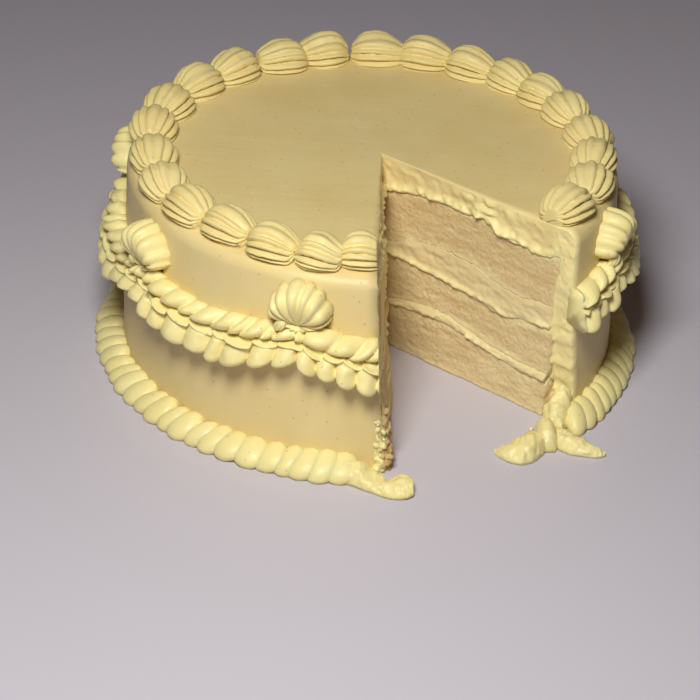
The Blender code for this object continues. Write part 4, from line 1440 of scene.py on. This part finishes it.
def dragged_mesh(name, sections, rough, seed):
    """Low blob along a path, torn and creased."""
    table = np.array(sections, float)
    t = np.linspace(0.0, len(table) - 1.0, 16 * (len(table) - 1) + 1)
    smooth = np.stack([np.interp(t, np.arange(len(table)), column) for column in table.T], -1)
    for _ in range(8):
        smooth[1:-1] = (smooth[:-2] + 2.0 * smooth[1:-1] + smooth[2:]) / 4.0
    steps = 48
    turn = 2.0 * np.pi * np.arange(steps) / steps
    rings = []
    for x, y, heading, half, foot, height in smooth:
        a = math.radians(heading)
        side = np.array([-math.sin(a), math.cos(a), 0.0])
        up = np.sin(turn)
        z = np.where(up > 0, foot + height * np.abs(up) ** 0.75, foot)
        rings.append(np.array([x, y, 0.0]) + side * (half * np.cos(turn))[:, None]
                     + np.stack([0 * z, 0 * z, z], -1))
    rings = np.array(rings)
    flat = rings.reshape(-1, 3)
    tears = 0.5 - 1.6 * np.abs(noise(flat, 4.2, seed + 3))
    bump = rough * (0.7 * noise(flat, 5.0, seed) + 0.55 * tears + 0.40 * noise(flat, 2.1, seed + 1)
                    + 0.26 * noise(flat, 1.0, seed + 2))
    centre = np.repeat(smooth[:, None, :3] * (1, 1, 0), steps, 1).reshape(-1, 3)
    away = flat - centre
    away /= np.maximum(np.linalg.norm(away, axis=1), 0.5)[:, None]
    moved = flat + away * bump[:, None] * ease(flat[:, 2] / 1.5 + 0.15)[:, None]
    moved[:, 2] = np.maximum(moved[:, 2], 0.0)
    rings = moved.reshape(rings.shape)
    first = rings[0].mean(0) * (1, 1, 0.8)
    last = rings[-1].mean(0) * (1, 1, 0.8)
    return closed_body(name, rings * MM, first * MM, last * MM)


def build_dragged(settings):
    """Smears and lumps at the two corners of the notch."""
    for seed, (name, sections) in enumerate(DRAGGED.items()):
        mesh = dragged_mesh(name + "_cream", sections, DRAGGED_ROUGHNESS[name], 130 + 5 * seed)
        obj = add_object(name + "_cream", mesh, finish("piped_buttercream"))
        finish_piece(obj, "buttercream", name)


def torn_column(name, beside, inside, wide, deep, top, seed):
    """Rough column up the front edge of the left cut, where it crumbled."""
    steps = 44
    z = np.linspace(0.0, top, 60)[:, None]
    turn = 2.0 * np.pi * np.arange(steps)[None, :] / steps
    slim = np.sqrt(np.clip(1.0 - (z / top) ** 2.5, 0.03, 1.0))
    rings = np.stack([cut_left_x(z) + beside + wide * slim * np.cos(turn),
                      inside - wall_radius(z) + deep * slim * np.sin(turn), z + 0.0 * turn], -1)
    flat = rings.reshape(-1, 3)
    bump = 1.7 * noise(flat, 4.6, seed) + 1.5 * noise(flat, 2.3, seed + 1) + 0.8 * noise(flat, 1.1, seed + 2)
    bump = bump.reshape(z.shape[0], steps) * slim
    rings[..., 0] += bump * np.cos(turn)
    rings[..., 1] += bump * np.sin(turn)
    return closed_body(name, rings * MM, rings[0].mean(0) * MM, rings[-1].mean(0) * MM)


def build_crumbs(settings):
    """Crumbs and flecks of cream that cling to the corners of the notch."""
    rng = np.random.default_rng(5)
    for name, material, slot, form in (("torn_crumb", "cut_sponge", "sponge", (0.9, 4.2, 2.6, 4.6, 31.0, 201)),
                                       ("torn_cream", "piped_buttercream", "buttercream",
                                        (-1.5, 0.6, 2.5, 1.8, 26.0, 211))):
        mesh = torn_column(name, *form)
        if slot == "sponge":
            points = read_points(mesh)
            add_tone(mesh, "brown_and_shade", np.clip(0.45 + 0.5 * noise(points, 4.0, 207), 0.0, 0.9))
            add_tone(mesh, "smear", np.clip(1.6 * noise(points, 3.0, 208) - 0.4, 0.0, 0.6))
        obj = add_object(name, mesh, finish(material))
        finish_piece(obj, slot)
    for name, material, slot, count in (("crumbs_sponge", "cut_sponge", "sponge", 130),
                                        ("crumbs_cream", "piped_buttercream", "buttercream", 80)):
        places = Places()
        for i in range(count):
            kind = i % 5
            size = 1.3 + 3.6 * rng.uniform(0.0, 1.0) ** 1.6
            flat = rng.uniform(0.6, 0.95)
            if kind < 4:       # up the lower front edge of the left cut
                cream = slot == "buttercream"
                z = 1.0 + (25.0 if cream else 28.0) * rng.uniform(0.0, 1.0) ** 1.1
                size *= 1.30 - 0.50 * z / 28.0
                r = wall_radius(z) - (rng.uniform(0.2, 3.4) if cream else rng.uniform(0.8, 11.0))
                far = rng.uniform(-2.8, 0.8) if cream else rng.uniform(-1.0, 2.6)
                at = (cut_left_x(z) + far + 0.9 * math.sin(z * 0.45), -r, z)
            else:              # among the lumps on the floor
                at = (rng.uniform(70.0, 94.0), rng.uniform(-86.0, -72.0), size * 0.3)
                size *= 0.7
            axes = Euler(rng.uniform(0.0, 6.28, 3)).to_matrix()
            places.add(at, axes, (size, size * flat, size * flat), int(rng.integers(0, 3)))
        shapes = [crumb("crumb_a", 1), crumb("crumb_b", 2), crumb("crumb_c", 3)]
        obj = places.bake(name, shapes, finish(material), 0.35, 1.5, 0.16, 0.7, 6)
        press_flat(obj.data)
        if slot == "sponge":
            add_tone(obj.data, "brown_and_shade", np.full(len(obj.data.vertices), 0.45))
        finish_piece(obj, slot)


# ---------------------------------------------------------------- stage

def build_stage(settings):
    """Pale floor, soft light and the camera."""
    scene = bpy.context.scene
    mesh = bpy.data.meshes.new("floor")
    reach = 6.0
    mesh.from_pydata([(-reach, -reach, -0.0002), (reach, -reach, -0.0002), (reach, reach, -0.0002),
                      (-reach, reach, -0.0002)], [], [(0, 1, 2, 3)])
    floor = add_object("floor", mesh, floor_material("pale_floor", settings.floor))

    world = bpy.data.worlds.new("studio")
    world.use_nodes = True
    background = world.node_tree.nodes["Background"]
    background.inputs["Color"].default_value = (*settings.sky[:3], 1.0)
    background.inputs["Strength"].default_value = settings.sky_strength
    scene.world = world

    def area(name, azimuth, elevation, distance, size, power_w, colour):
        data = bpy.data.lights.new(name, "AREA")
        data.shape = "DISK"
        data.size = size
        data.energy = power_w
        data.color = colour
        obj = bpy.data.objects.new(name, data)
        a, e = math.radians(azimuth), math.radians(elevation)
        at = Vector((math.cos(a) * math.cos(e), math.sin(a) * math.cos(e), math.sin(e))) * distance
        at += Vector((0.0, 0.0, 0.04))
        obj.location = at
        obj.rotation_euler = (Vector((0.0, 0.0, 0.04)) - at).to_track_quat("-Z", "Y").to_euler()
        scene.collection.objects.link(obj)

    area("key", settings.key_azimuth, settings.key_elevation, 0.85, settings.key_size,
         settings.key_power, (1.0, 0.985, 0.89))
    area("fill", 60.0, 62.0, 2.2, 1.8, settings.fill_power, (1.0, 0.62, 0.46))

    data = bpy.data.cameras.new("camera")
    data.lens = settings.lens
    data.sensor_width = 36.0
    data.clip_end = 20.0
    camera = bpy.data.objects.new("camera", data)
    e = math.radians(settings.camera_elevation)
    d = settings.camera_distance
    pitch = e + math.radians(0.31)
    yaw, roll = math.radians(-0.35), math.radians(2.25)
    forward = Vector((math.sin(yaw) * math.cos(pitch), math.cos(yaw) * math.cos(pitch), -math.sin(pitch)))
    right = Vector((math.cos(yaw), -math.sin(yaw), 0.0))
    up = right.cross(forward)
    turned_right = right * math.cos(roll) + up * math.sin(roll)
    turned_up = up * math.cos(roll) - right * math.sin(roll)
    matrix = Matrix((turned_right, turned_up, -forward)).transposed().to_4x4()
    matrix.translation = Vector((0.0, -d * math.cos(e), d * math.sin(e)))
    camera.matrix_world = matrix
    scene.collection.objects.link(camera)
    scene.camera = camera
    scene.view_settings.view_transform = "Standard"


# ---------------------------------------------------------------- add-on

def length_property(name, description, value):
    """Length with its usual unit."""
    return FloatProperty(name=name, description=description, default=value * MM, min=0.0,
                         subtype="DISTANCE", unit="LENGTH", precision=4)


def colour_property(name, description, value):
    """Plain colour."""
    return FloatVectorProperty(name=name, description=description, default=value, size=3, min=0.0,
                               max=1.0, subtype="COLOR")


class CakeColours(PropertyGroup):
    """Colours of the cake's foods."""

    buttercream: colour_property("Buttercream", "Colour of the smooth coat", (0.825, 0.672, 0.342))
    piping: colour_property("Piping", "Colour of the piped cream", (0.94, 0.83, 0.42))
    # The shells colour is the piped cream darkened as painted shade.
    shells: colour_property("Shells", "Colour of the shells on top, darkened as painted shade",
                            (0.865, 0.73, 0.36))
    filling: colour_property("Filling", "Colour of the cut cream", (0.87, 0.745, 0.43))
    sponge: colour_property("Sponge", "Colour of the cut sponge", (0.78, 0.625, 0.355))


class CakeSizes(PropertyGroup):
    """Sizes of the cake's relief and of its piping."""

    unevenness: length_property("Unevenness", "How far the coat strays from a true shape", 0.45)
    crumb: length_property("Crumb", "Relief of the cut sponge", 0.42)
    shell_length: length_property("Shell length", "Longest a shell can be", 24.6)
    shell_width: length_property("Shell width", "Width of a shell", 22.0)
    shell_height: length_property("Shell height", "Height of a shell", 13.4)
    shell_ridges: IntProperty(name="Shell ridges", description="Ridges round a shell", default=14,
                              min=5, max=30)
    fan_width: length_property("Fan width", "Width of a fan", 26.5)
    fan_depth: length_property("Fan depth", "How far a fan stands out", 12.3)
    swag_depth: length_property("Swag depth", "How far a swag stands out", 12.5)
    petal_width: length_property("Petal width", "Width of a petal", 10.2)
    petal_pitch: FloatProperty(name="Petal pitch", description="Degrees from petal to petal",
                               default=4.9, min=1.0)
    rope_pitch: FloatProperty(name="Rope pitch", description="Degrees from lobe to lobe",
                              default=4.15, min=1.0)
    rope_width: length_property("Rope width", "Width of the foot rope", 11.5)
    rope_height: length_property("Rope height", "Height of the foot rope", 9.2)


class CakeStage(PropertyGroup):
    """Floor, light and camera."""

    floor: colour_property("Floor", "Colour of the floor", (0.61, 0.58, 0.69))
    sky: colour_property("Sky", "Colour of the light all round", (0.96, 0.80, 0.70))
    sky_strength: FloatProperty(name="Sky strength", description="Light all round", default=0.012)
    key_power: FloatProperty(name="Key power", description="Main light in watts", default=6.2,
                             subtype="POWER")
    fill_power: FloatProperty(name="Fill power", description="Second light in watts", default=1.3,
                              subtype="POWER")
    key_size: FloatProperty(name="Key size", description="Width of the main light", default=0.24,
                            subtype="DISTANCE", unit="LENGTH")
    key_azimuth: FloatProperty(name="Key azimuth", description="Degrees round from +X",
                               default=-99.0)
    key_elevation: FloatProperty(name="Key elevation", description="Degrees above the floor",
                                 default=48.5)
    lens: FloatProperty(name="Lens", description="Focal length in millimetres", default=145.95)
    camera_distance: FloatProperty(name="Camera distance", description="From the cake's foot",
                                   default=1.296, subtype="DISTANCE", unit="LENGTH")
    camera_elevation: FloatProperty(name="Camera elevation", description="Degrees above the floor",
                                    default=31.43)


class CAKE_OT_coat(Operator):
    """Build the buttercream coat"""

    bl_idname = "cake.coat"
    bl_label = "Coat"

    def execute(self, context):
        build_coat(context.scene.cake_sizes)
        return {"FINISHED"}


class CAKE_OT_layers(Operator):
    """Build the sponges and the fillings"""

    bl_idname = "cake.layers"
    bl_label = "Layers"

    def execute(self, context):
        build_layers(context.scene.cake_sizes)
        return {"FINISHED"}


class CAKE_OT_shells(Operator):
    """Pipe the shells along the top edge"""

    bl_idname = "cake.shells"
    bl_label = "Shells"

    def execute(self, context):
        build_shells(context.scene.cake_sizes)
        return {"FINISHED"}


class CAKE_OT_fans(Operator):
    """Pipe the fans on the side"""

    bl_idname = "cake.fans"
    bl_label = "Fans"

    def execute(self, context):
        build_fans(context.scene.cake_sizes)
        return {"FINISHED"}


class CAKE_OT_swags(Operator):
    """Pipe the swags between the fans"""

    bl_idname = "cake.swags"
    bl_label = "Swags"

    def execute(self, context):
        build_swags(context.scene.cake_sizes)
        return {"FINISHED"}


class CAKE_OT_rope(Operator):
    """Pipe the rope round the foot"""

    bl_idname = "cake.rope"
    bl_label = "Foot rope"

    def execute(self, context):
        build_rope(context.scene.cake_sizes)
        return {"FINISHED"}


class CAKE_OT_dragged(Operator):
    """Drag cream out of the rope at the corners of the notch"""

    bl_idname = "cake.dragged"
    bl_label = "Dragged cream"

    def execute(self, context):
        build_dragged(context.scene.cake_sizes)
        return {"FINISHED"}


class CAKE_OT_crumbs(Operator):
    """Scatter the clinging crumbs"""

    bl_idname = "cake.crumbs"
    bl_label = "Crumbs"

    def execute(self, context):
        build_crumbs(context.scene.cake_sizes)
        return {"FINISHED"}


class CAKE_OT_stage(Operator):
    """Set the floor, the light and the camera"""

    bl_idname = "cake.stage"
    bl_label = "Stage"

    def execute(self, context):
        build_stage(context.scene.cake_stage)
        return {"FINISHED"}


STEPS = (CAKE_OT_coat, CAKE_OT_layers, CAKE_OT_shells, CAKE_OT_fans, CAKE_OT_swags, CAKE_OT_rope,
         CAKE_OT_dragged, CAKE_OT_crumbs, CAKE_OT_stage)


class CAKE_PT_panel(Panel):
    """Steps of the cake in the sidebar"""

    bl_label = "Layer cake"
    bl_idname = "CAKE_PT_panel"
    bl_space_type = "VIEW_3D"
    bl_region_type = "UI"
    bl_category = "Layer cake"

    def draw(self, context):
        layout = self.layout
        for step in STEPS:
            layout.operator(step.bl_idname)
        for group in (context.scene.cake_sizes, context.scene.cake_colours, context.scene.cake_stage):
            column = layout.column(align=True)
            for name in group.__annotations__:
                column.prop(group, name)


GROUPS = (CakeColours, CakeSizes, CakeStage)


def register():
    """Add the classes and the settings."""
    for item in (*GROUPS, *STEPS, CAKE_PT_panel):
        bpy.utils.register_class(item)
    bpy.types.Scene.cake_colours = PointerProperty(type=CakeColours)
    bpy.types.Scene.cake_sizes = PointerProperty(type=CakeSizes)
    bpy.types.Scene.cake_stage = PointerProperty(type=CakeStage)


def unregister():
    """Take the settings and the classes away."""
    del bpy.types.Scene.cake_stage
    del bpy.types.Scene.cake_sizes
    del bpy.types.Scene.cake_colours
    for item in reversed((*GROUPS, *STEPS, CAKE_PT_panel)):
        bpy.utils.unregister_class(item)


def main():
    """Build everything in order."""
    register()
    bpy.ops.cake.coat()
    bpy.ops.cake.layers()
    bpy.ops.cake.shells()
    bpy.ops.cake.fans()
    bpy.ops.cake.swags()
    bpy.ops.cake.rope()
    bpy.ops.cake.dragged()
    bpy.ops.cake.crumbs()
    bpy.ops.cake.stage()


if __name__ == "__main__":
    main()
